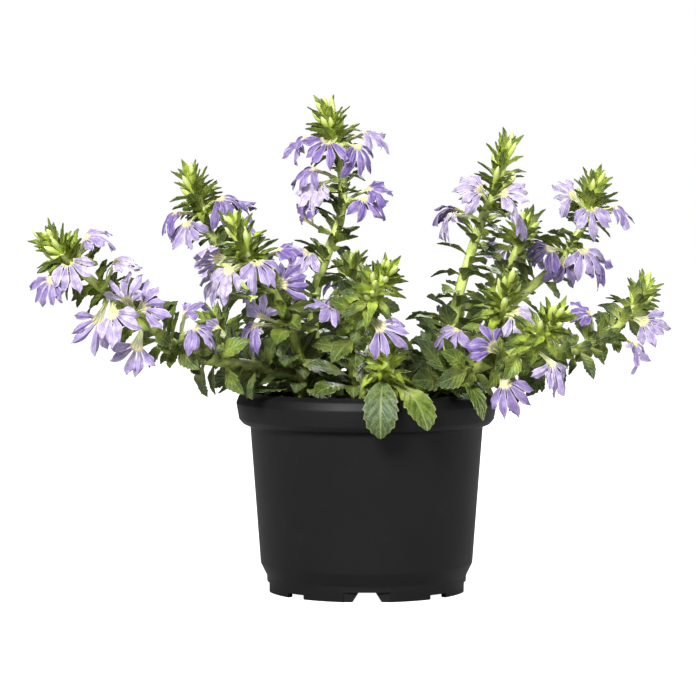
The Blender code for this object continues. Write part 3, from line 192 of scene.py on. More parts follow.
# Stems. The route's points run from the root up to the growing tip. "tip" is the length of the crowded
# tip with its bracts and buds, "leaves" is (count, shortest, longest), and each entry of "sprays" is
# (distance below the tip, [(direction of the tube, direction of the middle lobe), ...]).
STEMS = {
    "trailing_left": {
        "root": (-22, -16),
        "route": [(-29, -20, 105), (-42, -28, 111), (-59, -40, 115), (-76, -52, 118), (-87, -60, 122),
                  (-101, -70, 133), (-114, -80, 146), (-126, -88, 154), (-135, -95, 163),
                  (-147, -102, 176)],
        "tip": 17, "bracts": 15, "buds": 5, "leaves": (17, 15, 27),
        "sprays": [
            (16, [((0.35, -0.45, 0.8), (0.95, -0.15, 0.1))]),
            (20, [((-0.2, -0.9, 0.35), (0.35, -0.25, -0.9)), ((-0.7, -0.65, -0.3), (-0.35, -0.1, -0.95))]),
            (36, [((0.3, -0.4, 0.85), (0.97, -0.1, -0.2))]),
            (41, [((-0.35, -0.6, -0.7), (-0.6, -0.3, -0.75)), ((0.1, -0.8, -0.55), (0.35, -0.35, -0.87))]),
            (57, [((-0.15, -0.75, 0.6), (-0.25, -0.3, 0.9)), ((0.45, -0.7, 0.5), (0.75, -0.25, 0.55))]),
            (63, [((-0.2, -0.55, -0.75), (-0.3, -0.35, -0.9))]),
            (86, [((0.2, -0.3, 0.9), (0.9, -0.1, 0.35)), ((0.5, -0.5, 0.7), (0.8, -0.3, -0.5))]),
        ],
    },
    "back_left": {
        "root": (-26, 22),
        "route": [(-30, 28, 108), (-40, 40, 126), (-60, 52, 145), (-74, 60, 162), (-82, 64, 181),
                  (-86, 65, 193), (-91, 66, 206)],
        "tip": 17, "bracts": 15, "buds": 5, "leaves": (12, 15, 27),
        "sprays": [
            (17, [((0.75, -0.5, 0.4), (0.85, -0.2, -0.45)), ((0.9, -0.1, 0.2), (0.9, -0.1, -0.35))]),
            (20, [((-0.85, -0.4, 0.1), (-0.6, -0.3, -0.75)), ((-0.45, -0.8, -0.3), (0.1, -0.25, -0.95))]),
            (34, [((0.8, -0.4, 0.45), (0.9, -0.2, -0.3))]),
        ],
    },
    "front_left": {
        "root": (-31, -27),
        "route": [(-32, -28, 104), (-33, -30, 117), (-36, -36, 129), (-43, -44, 146), (-51, -50, 157),
                  (-58, -55, 168), (-63, -58, 183)],
        "tip": 20, "bracts": 16, "buds": 5, "leaves": (12, 16, 29),
        "sprays": [
            (20, [((0.25, -0.93, 0.1), (0.25, -0.25, -0.93)), ((-0.6, -0.75, -0.2), (-0.35, -0.2, -0.9))]),
            (21, [((-0.95, -0.2, 0.2), (-0.9, -0.25, 0.15)), ((-0.8, 0.3, -0.35), (-0.7, -0.1, -0.7))]),
            (22, [((0.8, -0.3, 0.5), (0.97, -0.15, -0.1))]),
            (35, [((0.6, -0.75, 0.25), (0.8, -0.15, 0.4))]),
            (60, [((-0.75, -0.55, 0.35), (-0.35, -0.3, 0.85)), ((-0.85, -0.5, 0.0), (-0.6, -0.2, -0.75))]),
        ],
    },
    "tall_middle": {
        "root": (-20, 4),
        "route": [(-23, 5, 108), (-27, 8, 130), (-25, 10, 152), (-21, 10, 165), (-16, 10, 176),
                  (-13, 10, 187), (-12, 10, 200), (-13, 10, 213), (-16, 8, 225), (-20, 6, 238)],
        "tip": 17, "bracts": 16, "buds": 5, "leaves": (18, 14, 29),
        "sprays": [
            (16, [((-0.85, -0.45, 0.2), (-0.55, -0.2, -0.8)), ((-0.4, -0.9, 0.0), (-0.5, -0.25, -0.83))]),
            (17, [((0.85, -0.3, 0.4), (0.9, -0.2, -0.35)), ((0.7, -0.7, 0.0), (0.35, -0.2, -0.92))]),
            (34, [((-0.8, -0.45, 0.35), (-0.85, -0.25, -0.45)), ((-0.7, -0.6, -0.2), (-0.4, -0.2, -0.9))]),
            (46, [((0.8, -0.4, 0.45), (0.95, -0.15, -0.25)), ((0.7, -0.65, 0.1), (0.6, -0.25, -0.75))]),
            (64, [((-0.7, -0.55, 0.5), (-0.35, -0.3, 0.87))]),
            (79, [((-0.4, -0.75, 0.5), (-0.6, -0.3, -0.7))]),
        ],
    },
    "front_middle": {
        "root": (-6, -32),
        "route": [(-7, -36, 107), (-6, -44, 122), (-5, -54, 135), (-2, -66, 144), (4, -80, 152),
                  (9, -92, 161)],
        "tip": 26, "bracts": 16, "buds": 7, "leaves": (12, 15, 31),
        "sprays": [
            (49, [((-0.75, -0.35, 0.55), (-0.85, -0.3, 0.3)), ((-0.6, 0.2, 0.75), (-0.5, -0.1, -0.85))]),
            (36, [((0.5, -0.75, -0.4), (0.75, -0.25, -0.6))]),
        ],
    },
    "tall_right": {
        "root": (22, 6),
        "route": [(32, 6, 108), (40, 8, 122), (44, 10, 139), (49, 12, 157), (54, 12, 173), (58, 11, 185),
                  (64, 9, 197), (67, 8, 210), (70, 7, 221)],
        "tip": 31, "bracts": 19, "buds": 5, "leaves": (14, 16, 30),
        "sprays": [
            (32, [((-0.3, -0.8, 0.5), (-0.97, -0.15, 0.2)), ((0.5, -0.75, 0.4), (0.92, -0.2, -0.3))]),
            (38, [((0.85, -0.3, 0.2), (0.5, -0.2, -0.85))]),
            (48, [((-0.85, -0.4, 0.35), (-0.85, -0.25, -0.45)), ((-0.7, -0.7, 0.1), (-0.35, -0.25, -0.9))]),
        ],
    },
    "right_back": {
        "root": (30, 18),
        "route": [(42, 27, 108), (58, 40, 125), (77, 52, 143), (93, 60, 156), (103, 64, 167),
                  (111, 67, 179), (117, 69, 190), (119, 70, 203)],
        "tip": 18, "bracts": 15, "buds": 5, "leaves": (13, 15, 27),
        "sprays": [
            (16, [((-0.6, -0.5, 0.6), (-0.92, -0.1, 0.35)), ((0.1, -0.95, 0.2), (0.1, -0.3, -0.95))]),
            (18, [((0.85, -0.35, 0.35), (0.75, -0.15, -0.65))]),
            (30, [((-0.85, -0.45, 0.25), (-0.75, -0.2, -0.6)), ((-0.5, -0.85, 0.0), (-0.1, -0.25, -0.95))]),
            (38, [((0.45, -0.85, 0.0), (0.35, -0.3, -0.9)), ((0.8, -0.45, -0.3), (0.7, -0.2, -0.7))]),
        ],
    },
    "short_right": {
        "root": (20, -12),
        "route": [(32, -19, 107), (48, -30, 119), (60, -40, 129), (67, -48, 141), (68, -52, 153)],
        "tip": 17, "bracts": 14, "buds": 4, "leaves": (10, 15, 30),
        "sprays": [
            (17, [((0.3, -0.9, 0.2), (0.75, -0.2, -0.6))]),
            (34, [((-0.75, -0.5, 0.4), (-0.75, -0.3, -0.6))]),
        ],
    },
    "front_right": {
        "root": (28, -30),
        "route": [(33, -38, 105), (45, -50, 111), (59, -64, 117), (70, -76, 123), (80, -88, 130),
                  (88, -99, 141)],
        "tip": 20, "bracts": 15, "buds": 6, "leaves": (11, 16, 29),
        "sprays": [
            (43, [((-0.35, -0.85, 0.35), (-0.8, -0.2, 0.55))]),
            (47, [((0.2, -0.7, -0.65), (0.35, -0.35, -0.87))]),
            (24, [((0.6, -0.6, -0.5), (0.1, -0.1, -0.98))]),
        ],
    },
    "trailing_right": {
        "root": (36, 0),
        "route": [(47, 3, 104), (67, 10, 109), (88, 22, 113), (104, 36, 117), (116, 50, 121),
                  (128, 62, 127), (138, 74, 135), (147, 85, 148)],
        "tip": 20, "bracts": 16, "buds": 5, "leaves": (15, 15, 27),
        "sprays": [
            (53, [((-0.1, -0.4, 0.9), (-0.85, -0.2, 0.3))]),
            (40, [((0.8, -0.5, -0.3), (0.2, -0.2, -0.96))]),
            (22, [((0.5, -0.8, -0.3), (0.75, -0.1, -0.65))]),
        ],
    },
    "young_front": {
        "root": (8, -40),
        "route": [(8, -47, 104), (9, -54, 112), (9, -58, 119)],
        "tip": 9, "bracts": 12, "buds": 0, "leaves": (3, 17, 33),
        "sprays": [],
    },
    "rear_left": {
        "root": (-14, 28),
        "route": [(-24, 40, 110), (-37, 60, 127), (-49, 80, 144), (-56, 92, 159)],
        "tip": 16, "bracts": 14, "buds": 4, "leaves": (11, 15, 30),
        "sprays": [
            (18, [((-0.4, 0.8, 0.3), (-0.4, 0.3, -0.9)), ((0.45, 0.8, 0.1), (0.5, 0.2, -0.85))]),
        ],
    },
    "rear_middle": {
        "root": (1, 30),
        "route": [(-3, 40, 110), (-7, 62, 127), (-8, 84, 144), (-7, 98, 161)],
        "tip": 16, "bracts": 14, "buds": 4, "leaves": (11, 15, 30),
        "sprays": [
            (18, [((-0.6, 0.6, 0.4), (-0.8, 0.3, -0.5)), ((0.4, 0.8, 0.1), (0.4, 0.2, -0.9))]),
        ],
    },
    "rear_right": {
        "root": (15, 22),
        "route": [(32, 36, 113), (59, 64, 138), (76, 84, 161), (86, 94, 183)],
        "tip": 16, "bracts": 14, "buds": 4, "leaves": (13, 15, 29),
        "sprays": [
            (18, [((0.5, 0.75, 0.3), (0.6, 0.2, -0.8)), ((-0.3, 0.9, 0.1), (-0.5, 0.1, -0.85))]),
        ],
    },
    "low_left": {
        "root": (-34, 12),
        "route": [(-43, 30, 106), (-56, 51, 112), (-70, 70, 119), (-81, 84, 131)],
        "tip": 15, "bracts": 13, "buds": 4, "leaves": (11, 15, 30),
        "sprays": [
            (17, [((-0.5, -0.4, 0.8), (-0.9, 0.0, 0.5)), ((0.45, -0.45, 0.7), (0.9, -0.2, -0.3))]),
        ],
    },
}

# Broad leaves low on the plant: (stem, distance up the stem, direction, length, half width, bend)
BROAD_LEAVES = [
    ("young_front", 36, (-0.08, -0.9, 0.35), 47, 8.0, 128),
    ("young_front", 33, (0.58, -0.74, 0.3), 46, 7.6, 128),
    ("front_right", 30, (0.55, -0.78, 0.25), 40, 4.4, 105),
    ("front_left", 27, (0.5, -0.8, 0.35), 27, 5.5, 115),
    ("front_left", 24, (-0.75, -0.6, 0.3), 33, 6.0, 105),
    ("trailing_left", 33, (-0.5, -0.85, 0.25), 34, 6.5, 100),
    ("trailing_left", 50, (-0.95, -0.1, 0.25), 30, 5.0, 60),
    ("front_middle", 29, (-0.65, -0.7, 0.3), 30, 6.0, 105),
    ("trailing_right", 54, (0.6, -0.75, -0.1), 24, 7.5, 60),
    ("front_right", 44, (0.1, -0.6, -0.75), 20, 5.5, 10),
    ("rear_right", 34, (0.7, 0.6, 0.3), 34, 7.0, 100),
    ("rear_middle", 32, (-0.2, 0.95, 0.25), 32, 7.0, 100),
    ("rear_left", 33, (-0.6, 0.75, 0.25), 32, 7.0, 95),
    ("low_left", 36, (-0.9, 0.3, 0.25), 32, 7.0, 95),
    ("trailing_right", 38, (0.75, 0.6, 0.3), 32, 7.0, 95),
]

# Past the limits of the solids
EXTRA_BRACTS = 24
EXTRA_BRACT_SPREAD, EXTRA_BUD_SPREAD = (0.5, 0.6, -2), (0.5, 3.0, 0)
EXTRA_BRACT_LEAN, EXTRA_BRACT_LENGTH, EXTRA_BRACT_HALF_WIDTH = (8, 86), (8.5, 18.0), (1.9, 3.1)
EXTRA_BUDS = 5
EXTRA_BUD_LEAN, EXTRA_BUD_LENGTH, EXTRA_BUD_RADIUS = (6, 36), (11.5, 16.5), (1.3, 1.65)
EXTRA_LEAVES = 32
EXTRA_LEAF_LEAN, EXTRA_LEAF_LENGTH = (24, 76), (12.0, 25.0)
EXTRA_LEAF_STRAY, EXTRA_LEAF_VARIES = (0.1, 0.9), (0.75, 1.15)
# Small leaves that stand close to the stem, to each 100 mm of it
CLOSE_LEAVES = 9
CLOSE_LEAF_LEAN, CLOSE_LEAF_LENGTH = (14, 62), (9.5, 17.0)
# Leaves round the foot of each bloom, and how far along the stem they stray from it
BLOOM_LEAVES, BLOOM_LEAF_LENGTH, BLOOM_LEAF_STRAY = 4, (11.0, 18.0), 5.0
# A narrow large leaf past the limits of the solids, given like the other large leaves
EXTRA_BROAD_LEAVES = [("front_right", 38, (0.5, -0.8, 0.6), 50, 4.0, 116)]

# Studio, in metres: how far right of the pot's axis the camera stands, half the floor's width, and the
# lights, each with its place, its width and its share of the main light's power
CAMERA_ASIDE, SENSOR_WIDTH = -0.00926, 36.0
FLOOR_REACH, FLOOR_SQUARES = 6.0, 24
LIGHTS = (("key", (-0.55, -1.5, 1.15), 0.5, 1.0), ("fill", (1.2, -1.0, 0.8), 0.8, 0.22),
          ("rim", (0.3, 1.1, 1.2), 0.7, 0.45))
LIGHTS_AIM = (0, 0, 0.13)


def unit(v):
    """The vector at length one."""
    v = np.asarray(v, float)
    return v / np.linalg.norm(v)


def square_to(v, axis):
    """The part of v at right angles to the unit vector axis, at length one."""
    v = np.asarray(v, float)
    return unit(v - (v @ axis) * axis)


def turned(v, axis, angle):
    """The vector v turned about the unit vector axis."""
    v, c, s = np.asarray(v, float), math.cos(angle), math.sin(angle)
    return v * c + np.cross(axis, v) * s + axis * (axis @ v) * (1 - c)


def away_from_line(points, line):
    """The distance from each point to a line of many short pieces."""
    a, ab = line[:-1], np.diff(line, axis=0)
    gap = points[:, None, :] - a[None]
    t = np.clip((gap * ab).sum(-1) / (ab * ab).sum(-1), 0, 1)
    return np.linalg.norm(gap - t[..., None] * ab, axis=-1).min(axis=1)


def curve_point(a, b, c, d, t):
    """The place a share t of the way from b to c on a smooth curve through four points."""
    return 0.5 * (2 * b + (c - a) * t + (2 * a - 5 * b + 4 * c - d) * t * t
                  + (3 * b - a - 3 * c + d) * t ** 3)


def beside(along):
    """The direction square to a stem from which the way round it is counted."""
    return square_to((0.0, 1.0, 0.0) if abs(along[1]) < 0.9 else (1.0, 0.0, 0.0), along)


def arch(root, d, n, length, bend, t):
    """The place a share t of the way along a blade that leaves root along d and bends away from n, and
    the direction square to the blade there."""
    angle = bend * t
    place = root + length / bend * (math.sin(angle) * d - (1 - math.cos(angle)) * n)
    return place, math.cos(angle) * n + math.sin(angle) * d


class Route:
    """A stem's line: straight up out of the soil, then through its points in chords, one to a ring."""

    def __init__(self, root, points, samples=10):
        foot = np.array([root[0], root[1], SOIL_TOP])
        p = np.array([foot] + [np.array(q, float) for q in points])
        rising = np.array([0, 0, np.linalg.norm(p[1] - p[0])])
        ends = np.vstack([p[1] - 2 * rising, p, 2 * p[-1] - p[-2]])
        curve = []
        for a, b, c, d in zip(ends, ends[1:], ends[2:], ends[3:]):
            curve += [curve_point(a, b, c, d, t) for t in np.arange(samples) / samples]
        self.set_line(np.array(curve + [p[-1]]))
        rings = max(3, round(self.length / STEM_RING_SPACING))
        chords = [self.point(s) for s in np.linspace(0.0, self.length, rings)]
        self.set_line(np.array([foot - (0, 0, ROOTED)] + chords))

    def set_line(self, line):
        """Takes the line's points, and measures how far along it each one lies."""
        self.line = line
        self.at = np.concatenate([[0.0], np.cumsum(np.linalg.norm(np.diff(line, axis=0), axis=1))])
        self.length = self.at[-1]

    def point(self, s):
        return np.array([np.interp(s, self.at, self.line[:, k]) for k in range(3)])

    def tangent(self, s, reach=1.5):
        return unit(self.point(min(s + reach, self.length)) - self.point(max(s - reach, 0.0)))

    def radius(self, s):
        """The stem thins towards its tip."""
        return STEM_BASE_RADIUS + (STEM_TIP_RADIUS - STEM_BASE_RADIUS) * (s / self.length) ** STEM_TAPER

    def tube(self, sides=6):
        """The stem's surface above the soil as points and faces, to test what comes near it."""
        points, faces = [], []
        for s in self.at[1:]:
            along = self.tangent(s)
            for k in range(sides):
                out = turned(beside(along), along, 2 * math.pi * k / sides)
                points.append(self.point(s) + out * (self.radius(s) + STEM_ROOM))
        for i in range(len(self.at) - 2):
            for k in range(sides):
                a, b = i * sides + k, i * sides + (k + 1) % sides
                faces.append((a, b, b + sides, a + sides))
        return np.array(points), faces


class Organ:
    """A blade, bloom or bud of the plan: its form, its plain solid, and swollen copies of the solid that
    test its room. The whole copy is held against other nodes, and the outer copy against its own
    stem's organs."""

    def __init__(self, kind, form, surface, solid, whole, outer=None):
        self.kind, self.form = kind, form
        self.points, self.faces = surface
        self.solid, self.whole, self.outer = solid, whole, outer

    def samples(self, parts=5, faces=None):
        """Points spread evenly over the surface, or over some of its faces."""
        a, b, c = (self.points[[face[k] for face in faces or self.faces]] for k in range(3))
        steps = [(i / parts, j / parts) for i in range(parts + 1) for j in range(parts + 1 - i)]
        return np.concatenate([a + (b - a) * i + (c - a) * j for i, j in steps])


def point_normals(points, faces, by_area):
    """The direction at right angles to a surface of triangles, at each of its points."""
    corners = np.array(faces)
    a, b, c = points[corners[:, 0]], points[corners[:, 1]], points[corners[:, 2]]
    across = np.cross(b - a, c - a)
    if not by_area:
        across /= np.maximum(np.linalg.norm(across, axis=1), 1e-9)[:, None]
    normals = np.zeros_like(points)
    np.add.at(normals, corners.ravel(), np.repeat(across, 3, axis=0))
    return normals / np.maximum(np.linalg.norm(normals, axis=1), 1e-9)[:, None]


def swollen(points, faces, margin):
    """A closed shape with its points moved out by margin."""
    return points + SWELL * margin * point_normals(points, faces, by_area=False), faces


def fattened(points, faces, rim, margin):
    """A closed slab round an open surface: moved out by margin both ways and joined at its rim."""
    normals = point_normals(points, faces, by_area=True)
    centre = points.mean(0)
    wide = points.copy()
    for i in rim:
        wide[i] += margin * RIM_SWELL * unit(points[i] - centre)
    n = len(points)
    both = np.vstack([wide + margin * normals, wide - margin * normals])
    slab = [tuple(f) for f in faces] + [tuple(i + n for i in f[::-1]) for f in faces]
    for a, b in zip(rim, rim[1:] + rim[:1]):
        slab += [(a, a + n, b + n), (a, b + n, b)]
    return both, slab


def blade_solid(root, direction, upper, length, half_width, bend, outline, start=0.0):
    """A leaf or bract: flat above and keeled below. It runs from a point at its root, through its
    rows, to a point at its tip, leaves the root along direction, and arches away from its upper side
    by the angle bend."""
    d, n = unit(direction), square_to(upper, unit(direction))
    side = np.cross(d, n)
    bend = math.radians(bend)
    points = [arch(root, d, n, length, bend, start)[0]]
    for t, share in outline:
        place, normal = arch(root, d, n, length, bend, t)
        half = half_width * share
        points += [place - side * half, place + side * half, place - normal * KEEL]
    points.append(arch(root, d, n, length, bend, 1.0)[0])
    tip = len(points) - 1
    faces = [(0, 2, 1), (0, 1, 3), (0, 3, 2), (tip, tip - 3, tip - 2), (tip, tip - 1, tip - 3),
             (tip, tip - 2, tip - 1)]
    for k in range(1, tip - 3, 3):
        for a, b in ((k + 1, k), (k, k + 2), (k + 2, k + 1)):
            faces += [(a, b + 3, b), (a, a + 3, b + 3)]
    return np.array(points), faces


def blade(kind, *shape):
    """A leaf or bract with its room."""
    solid = blade_solid(*shape)
    outer = blade_solid(*shape, start=BLADE_OUTER_FROM)
    return Organ(kind, shape, solid, solid, swollen(*solid, GAP), swollen(*outer, OUTER_GAP))


def bud(start, direction, length, radius):
    """A club-shaped bud with three sides."""
    east = square_to((0.31, 0.27, 0.91) if abs(direction[2]) < 0.9 else (1, 0.2, 0), direction)
    corners = [turned(east, direction, 2 * math.pi * k / 3) for k in range(3)]
    faces = [(2, 1, 0)]
    for i in range(3):
        j = (i + 1) % 3
        faces += [(i, j, j + 3), (i, j + 3, i + 3), (i + 3, j + 3, 6)]

    def solid(first=0.0):
        rings = [start + direction * length * first + way * BUD_FOOT_RADIUS for way in corners]
        rings += [start + direction * length * BUD_WIDEST + way * radius for way in corners]
        return np.array(rings + [start + direction * length]), faces

    form, outer = (start, direction, length, radius), solid(BUD_OUTER_FROM)
    return Organ("bud", form, solid(), solid(), swollen(*solid(), GAP), swollen(*outer, OUTER_GAP))


class Fan:
    """The open end of one bloom: where its throat and its five lobes lie."""

    def __init__(self, throat, facing, middle, rng):
        self.throat, self.middle = throat, unit(middle)
        self.facing = square_to(facing, self.middle)
        self.side = np.cross(self.facing, self.middle)
        self.reflex = rng.uniform(*REFLEX)
        self.lobes = []
        for k in range(LOBES):
            turn = k - (LOBES - 1) / 2
            angle = turn * LOBE_STEP + rng.uniform(-LOBE_STRAY, LOBE_STRAY)
            length = LOBE_LENGTH * (1.0 - SIDE_LOBE_LOSS * turn ** 2) * rng.uniform(*LOBE_LENGTH_VARIES)
            slant = 1 if turn > 0 or turn == 0 and rng.random() < 0.5 else -1
            lift = LOBE_HALF_WIDTH * math.tan(rng.uniform(-LOBE_TWIST, LOBE_TWIST))
            self.lobes.append((angle, length, slant, lift))

    def at(self, radius, angle, lift=0.0):
        """The place at a radius and angle from the throat; the lobes rise and then curl back."""
        rise = LOBE_RISE * radius - self.reflex * radius * radius + lift
        out = math.cos(angle) * self.middle + math.sin(angle) * self.side
        return self.throat + radius * out + rise * self.facing

    def ring(self, share):
        """The edge of the throat, from its left end at 0 to its right end at 1."""
        return self.at(THROAT_RADIUS, (share - 0.5) * LOBES * LOBE_STEP * THROAT_SPREAD)

    def sheet(self, first, row):
        """The bloom above the base row's three points, as points numbered from first on, faces, and
        the rim from the row's left end to its right end."""
        left, mid, right = row
        ring = [first + k for k in range(LOBES + 1)]
        points = [self.ring(k / LOBES) for k in range(LOBES + 1)]
        faces = [(left, ring[1], ring[0]), (left, ring[2], ring[1]), (left, mid, ring[2]),
                 (mid, ring[3], ring[2]), (mid, right, ring[3]), (right, ring[4], ring[3]),
                 (right, ring[5], ring[4])]
        rim = [ring[0]]
        for k, (angle, length, slant, lift) in enumerate(self.lobes):
            short = LOBE_SHOULDER * length
            shoulder = self.at(short, angle + slant * math.atan2(LOBE_HALF_WIDTH, short), slant * lift)
            inward = math.atan2(LOBE_TIP_SHARE * LOBE_HALF_WIDTH, length)
            tip = self.at(length, angle - slant * inward, -slant * lift)
            end = first + len(points)
            points += [tip, shoulder] if slant > 0 else [shoulder, tip]
            faces += [(ring[k], ring[k + 1], end), (end, ring[k + 1], end + 1)]
            rim += [end, end + 1, ring[k + 1]]
        return points, faces, rim


def base_points(tubes, overs):
    """The base of a bloom is a bent row of three points. A pair stands side by side, and its two rows
    share the point between them, point 0. Returns the points, measured from the base, and each
    bloom's row of them with its left end first."""
    w = TUBE_HALF_WIDTH
    sides = [np.cross(tube, over) for tube, over in zip(tubes, overs)]
    if len(tubes) == 1:
        below, above = -BASE_BELOW * overs[0], BASE_OVER * overs[0]
        return np.array([below - w * sides[0], above, below + w * sides[0]]), [(0, 1, 2)]
    shared = -BASE_BELOW * unit(overs[0] + overs[1])
    alike = 1 if sides[0] @ sides[1] > 0 else -1
    way = 1 if (tubes[1] - tubes[0]) @ (sides[0] + alike * sides[1]) > 0 else -1
    points, rows = [shared], []
    for side, over, out in ((sides[0], overs[0], -way), (sides[1], overs[1], way * alike)):
        points += [shared + out * w * side + PAIR_OVER * over, shared + 2 * out * w * side]
        row = (len(points) - 1, len(points) - 2, 0)
        rows.append(row if out < 0 else row[::-1])
    return np.array(points), rows


def bloom_sheet(base, feet, rows, blooms, rng):
    """One open sheet: a slit tube with its lobes, or a pair joined at the base by a small web. The
    feet are the base's points and rows say which of them carry each bloom."""
    points = list(base + feet)
    forms, fans, rims = [], [], []
    for row, (tube, middle) in zip(rows, blooms):
        tube = unit(tube)
        fan = Fan(base + tube * TUBE_LENGTH, tube, middle, rng)
        more, faces, rim = fan.sheet(len(points), row)
        forms.append((fan, [points[i] for i in row], tube))
        points += more
        fans.append(faces)
        rims.append([row[0]] + rim + [row[2]])
    rim = rims[0] + [rows[0][1]]
    if len(blooms) > 1:
        if rows[0].index(0) == rows[1].index(0):
            fans[1] = [face[::-1] for face in fans[1]]
            rims[1] = rims[1][::-1]
        web = (0, rows[0][1], rows[1][1])
        fans[0].append(web if rows[0][2] == 0 else web[::-1])
        first, last = (0, 1) if rims[0][-1] == 0 else (1, 0)
        rim = rims[first] + rims[last][1:] + [rows[last][1], rows[first][1]]
    points = np.array(points)
    faces = [face for one in fans for face in one]
    organ = Organ("bloom", forms, (points, faces), fattened(points, faces, rim, BLADE / 2),
                  fattened(points, faces, rim, BLADE / 2 + GAP))
    organ.fans = fans
    return organ


def spray(node, route, s, blooms):
    """The bloom or pair that leaves one place on a stem, just clear of its surface."""
    axis, r = route.point(s), route.radius(s)
    tubes = [unit(tube) for tube, _ in blooms]
    overs = [square_to(unit(middle), tube) for tube, (_, middle) in zip(tubes, blooms)]
    feet, rows = base_points(tubes, overs)
    outward = unit(sum(tubes))
    for reach in np.arange(r, r + SEAT_REACH, SEAT_STEP):
        base = axis + outward * reach
        if (away_from_line(base + feet, route.line) > r + BLADE / 2 + SEAT_GAP).all():
            break
    return bloom_sheet(base, feet, rows, blooms, random.Random(node))


class Room:
    """What has been placed so far, so that nothing new crosses another node."""

    def __init__(self, routes):
        self.trees, self.nodes, self.stems = [], [], []
        self.low, self.high = np.zeros((0, 3)), np.zeros((0, 3))
        for name, route in routes.items():
            self.remember(name, *route.tube(), stem=True)

    def remember(self, node, points, faces, stem=False):
        self.trees.append(BVHTree.FromPolygons(points.tolist(), faces))
        self.nodes.append(node)
        self.stems.append(stem)
        self.low = np.vstack([self.low, points.min(0)])
        self.high = np.vstack([self.high, points.max(0)])

    def add(self, organ, node):
        self.remember(node, *organ.solid)

    def clear(self, organ, node, own_stem=""):
        """True if the organ keeps its gap to every other node."""
        return not self.meets(organ.whole, lambda other, stem: other != node and other != own_stem)

    def apart(self, organ, node):
        """True if the outer part of an organ crosses nothing else on its own stem."""
        return not self.meets(organ.outer, lambda other, stem: other == node and not stem)

    def meets(self, shape, wanted):
        """True if a shape crosses anything whose node and kind are wanted."""
        points, faces = shape
        near = ((self.low < points.max(0)) & (points.min(0) < self.high)).all(axis=1)
        found = [i for i in np.flatnonzero(near) if wanted(self.nodes[i], self.stems[i])]
        if not found:
            return False
        own = BVHTree.FromPolygons(points.tolist(), faces)
        return any(own.overlap(self.trees[i]) for i in found)


def clear_of_pot(samples):
    """True if no point comes too near the pot's collar, or the soil and the wall round it."""
    r, z = np.hypot(samples[:, 0], samples[:, 1]), samples[:, 2]
    by_collar = ((r > RIM_TOP_RADIUS - INSIDE_GAPS * POT_CLEARANCE)
                 & (r < RIM_RADIUS + OUTSIDE_GAPS * POT_CLEARANCE) & (z < POT_HEIGHT + POT_CLEARANCE))
    by_soil = (r < BODY_TOP[0] + POT_CLEARANCE) & (z < SOIL_TOP + SOIL_GAPS * POT_CLEARANCE)
    return not (by_collar | by_soil).any()


def between(ends, share):
    """The number a share of the way from one end to the other."""
    return ends[0] + (ends[1] - ends[0]) * share


def swings(widest, step):
    """Angles tried in turn: none, then a little each way, then more."""
    angles = [0.0]
    for k in range(1, int(widest / step) + 1):
        angles += [math.radians(k * step), -math.radians(k * step)]
    return angles


def lobes_apart(organ):
    """True if a pair's sheet crosses itself nowhere and the lobes of each bloom keep off the other."""
    if len(organ.fans) < 2:
        return True
    points, faces = organ.solid
    skin = BVHTree.FromPolygons(points.tolist(), faces)
    if any(not set(faces[i]) & set(faces[j]) for i, j in skin.overlap(skin)):
        return False
    for one, other in (organ.fans, organ.fans[::-1]):
        sheet = BVHTree.FromPolygons(organ.points.tolist(), other)
        lobes = organ.samples(4, one[TUBE_FACES:TUBE_FACES + 2 * LOBES])
        if any(sheet.find_nearest(place, BLADE + LOBE_GAP)[0] for place in lobes):
            return False
    return True


def place_sprays(stems, routes, room):
    """Blooms keep the direction given for them, or turn a little about the stem to find room. The two
    blooms of a pair also turn away from each other until their lobes are apart."""
    made = {}
    for name, stem in stems.items():
        route = routes[name]
        for number, (below, blooms) in enumerate(stem["sprays"], 1):
            node = f"bloom_{name}_{number}"
            for opening in PAIR_OPENINGS if len(blooms) > 1 else (0,):
                organ = roomy_spray(node, name, route, room, below, blooms, math.radians(opening))
                if organ:
                    made[node] = organ
                    room.add(organ, node)
                    break
    return made


def roomy_spray(node, name, route, room, below, blooms, opening):
    """The first of many nearby places and turns where the spray is clear of all else, or None."""
    swings_tried = swings(SPRAY_SWING, SPRAY_SWING_STEP)
    for shift, swing in [(a, b) for a in SPRAY_SHIFTS for b in swings_tried]:
        s = route.length - below - shift
        along = route.tangent(s)
        way = math.copysign(opening, np.cross(blooms[0][0], blooms[-1][0]) @ along)
        moved = []
        for k, (tube, middle) in enumerate(blooms):
            angle = swing + way * (k - (len(blooms) - 1) / 2)
            moved.append((turned(tube, along, angle), turned(middle, along, angle)))
        organ = spray(node, route, s, moved)
        samples = organ.samples()
        nearest = route.radius(s) + BLADE / 2 + SEAT_SLACK * SEAT_GAP
        if (lobes_apart(organ) and clear_of_pot(samples)
                and (away_from_line(samples, route.line) > nearest).all()
                and room.clear(organ, node, name)):
            return organ
    return None


def grow(kind, route, s, azimuth, lean, length, half_width, bend):
    """A bract, bud or leaf on its stem: azimuth is the way round the stem and lean the angle from it."""
    along = route.tangent(s)
    out = turned(beside(along), along, azimuth)
    lean = math.radians(lean)
    direction = math.cos(lean) * along + math.sin(lean) * out
    root = route.point(s) + out * FOOT_SHARE * route.radius(s)
    if kind == "bud":
        return bud(root, direction, length, half_width)
    outline = LEAF_OUTLINE if kind == "leaf" and length > SHORT_LEAF else BRACT_OUTLINE
    return blade(kind, root, direction, along, length, half_width, bend, outline)


def settle(room, name, variants, checks):
    """The first variant with room clear of the other nodes and apart from its own stem's organs, or
    else the first that is clear of the other nodes alone."""
    second = None
    for organ in variants:
        if room.clear(organ, name) and checks(organ):
            if room.apart(organ, name):
                room.add(organ, name)
                return organ
            second = second or organ
    if second:
        room.add(second, name)
    return second


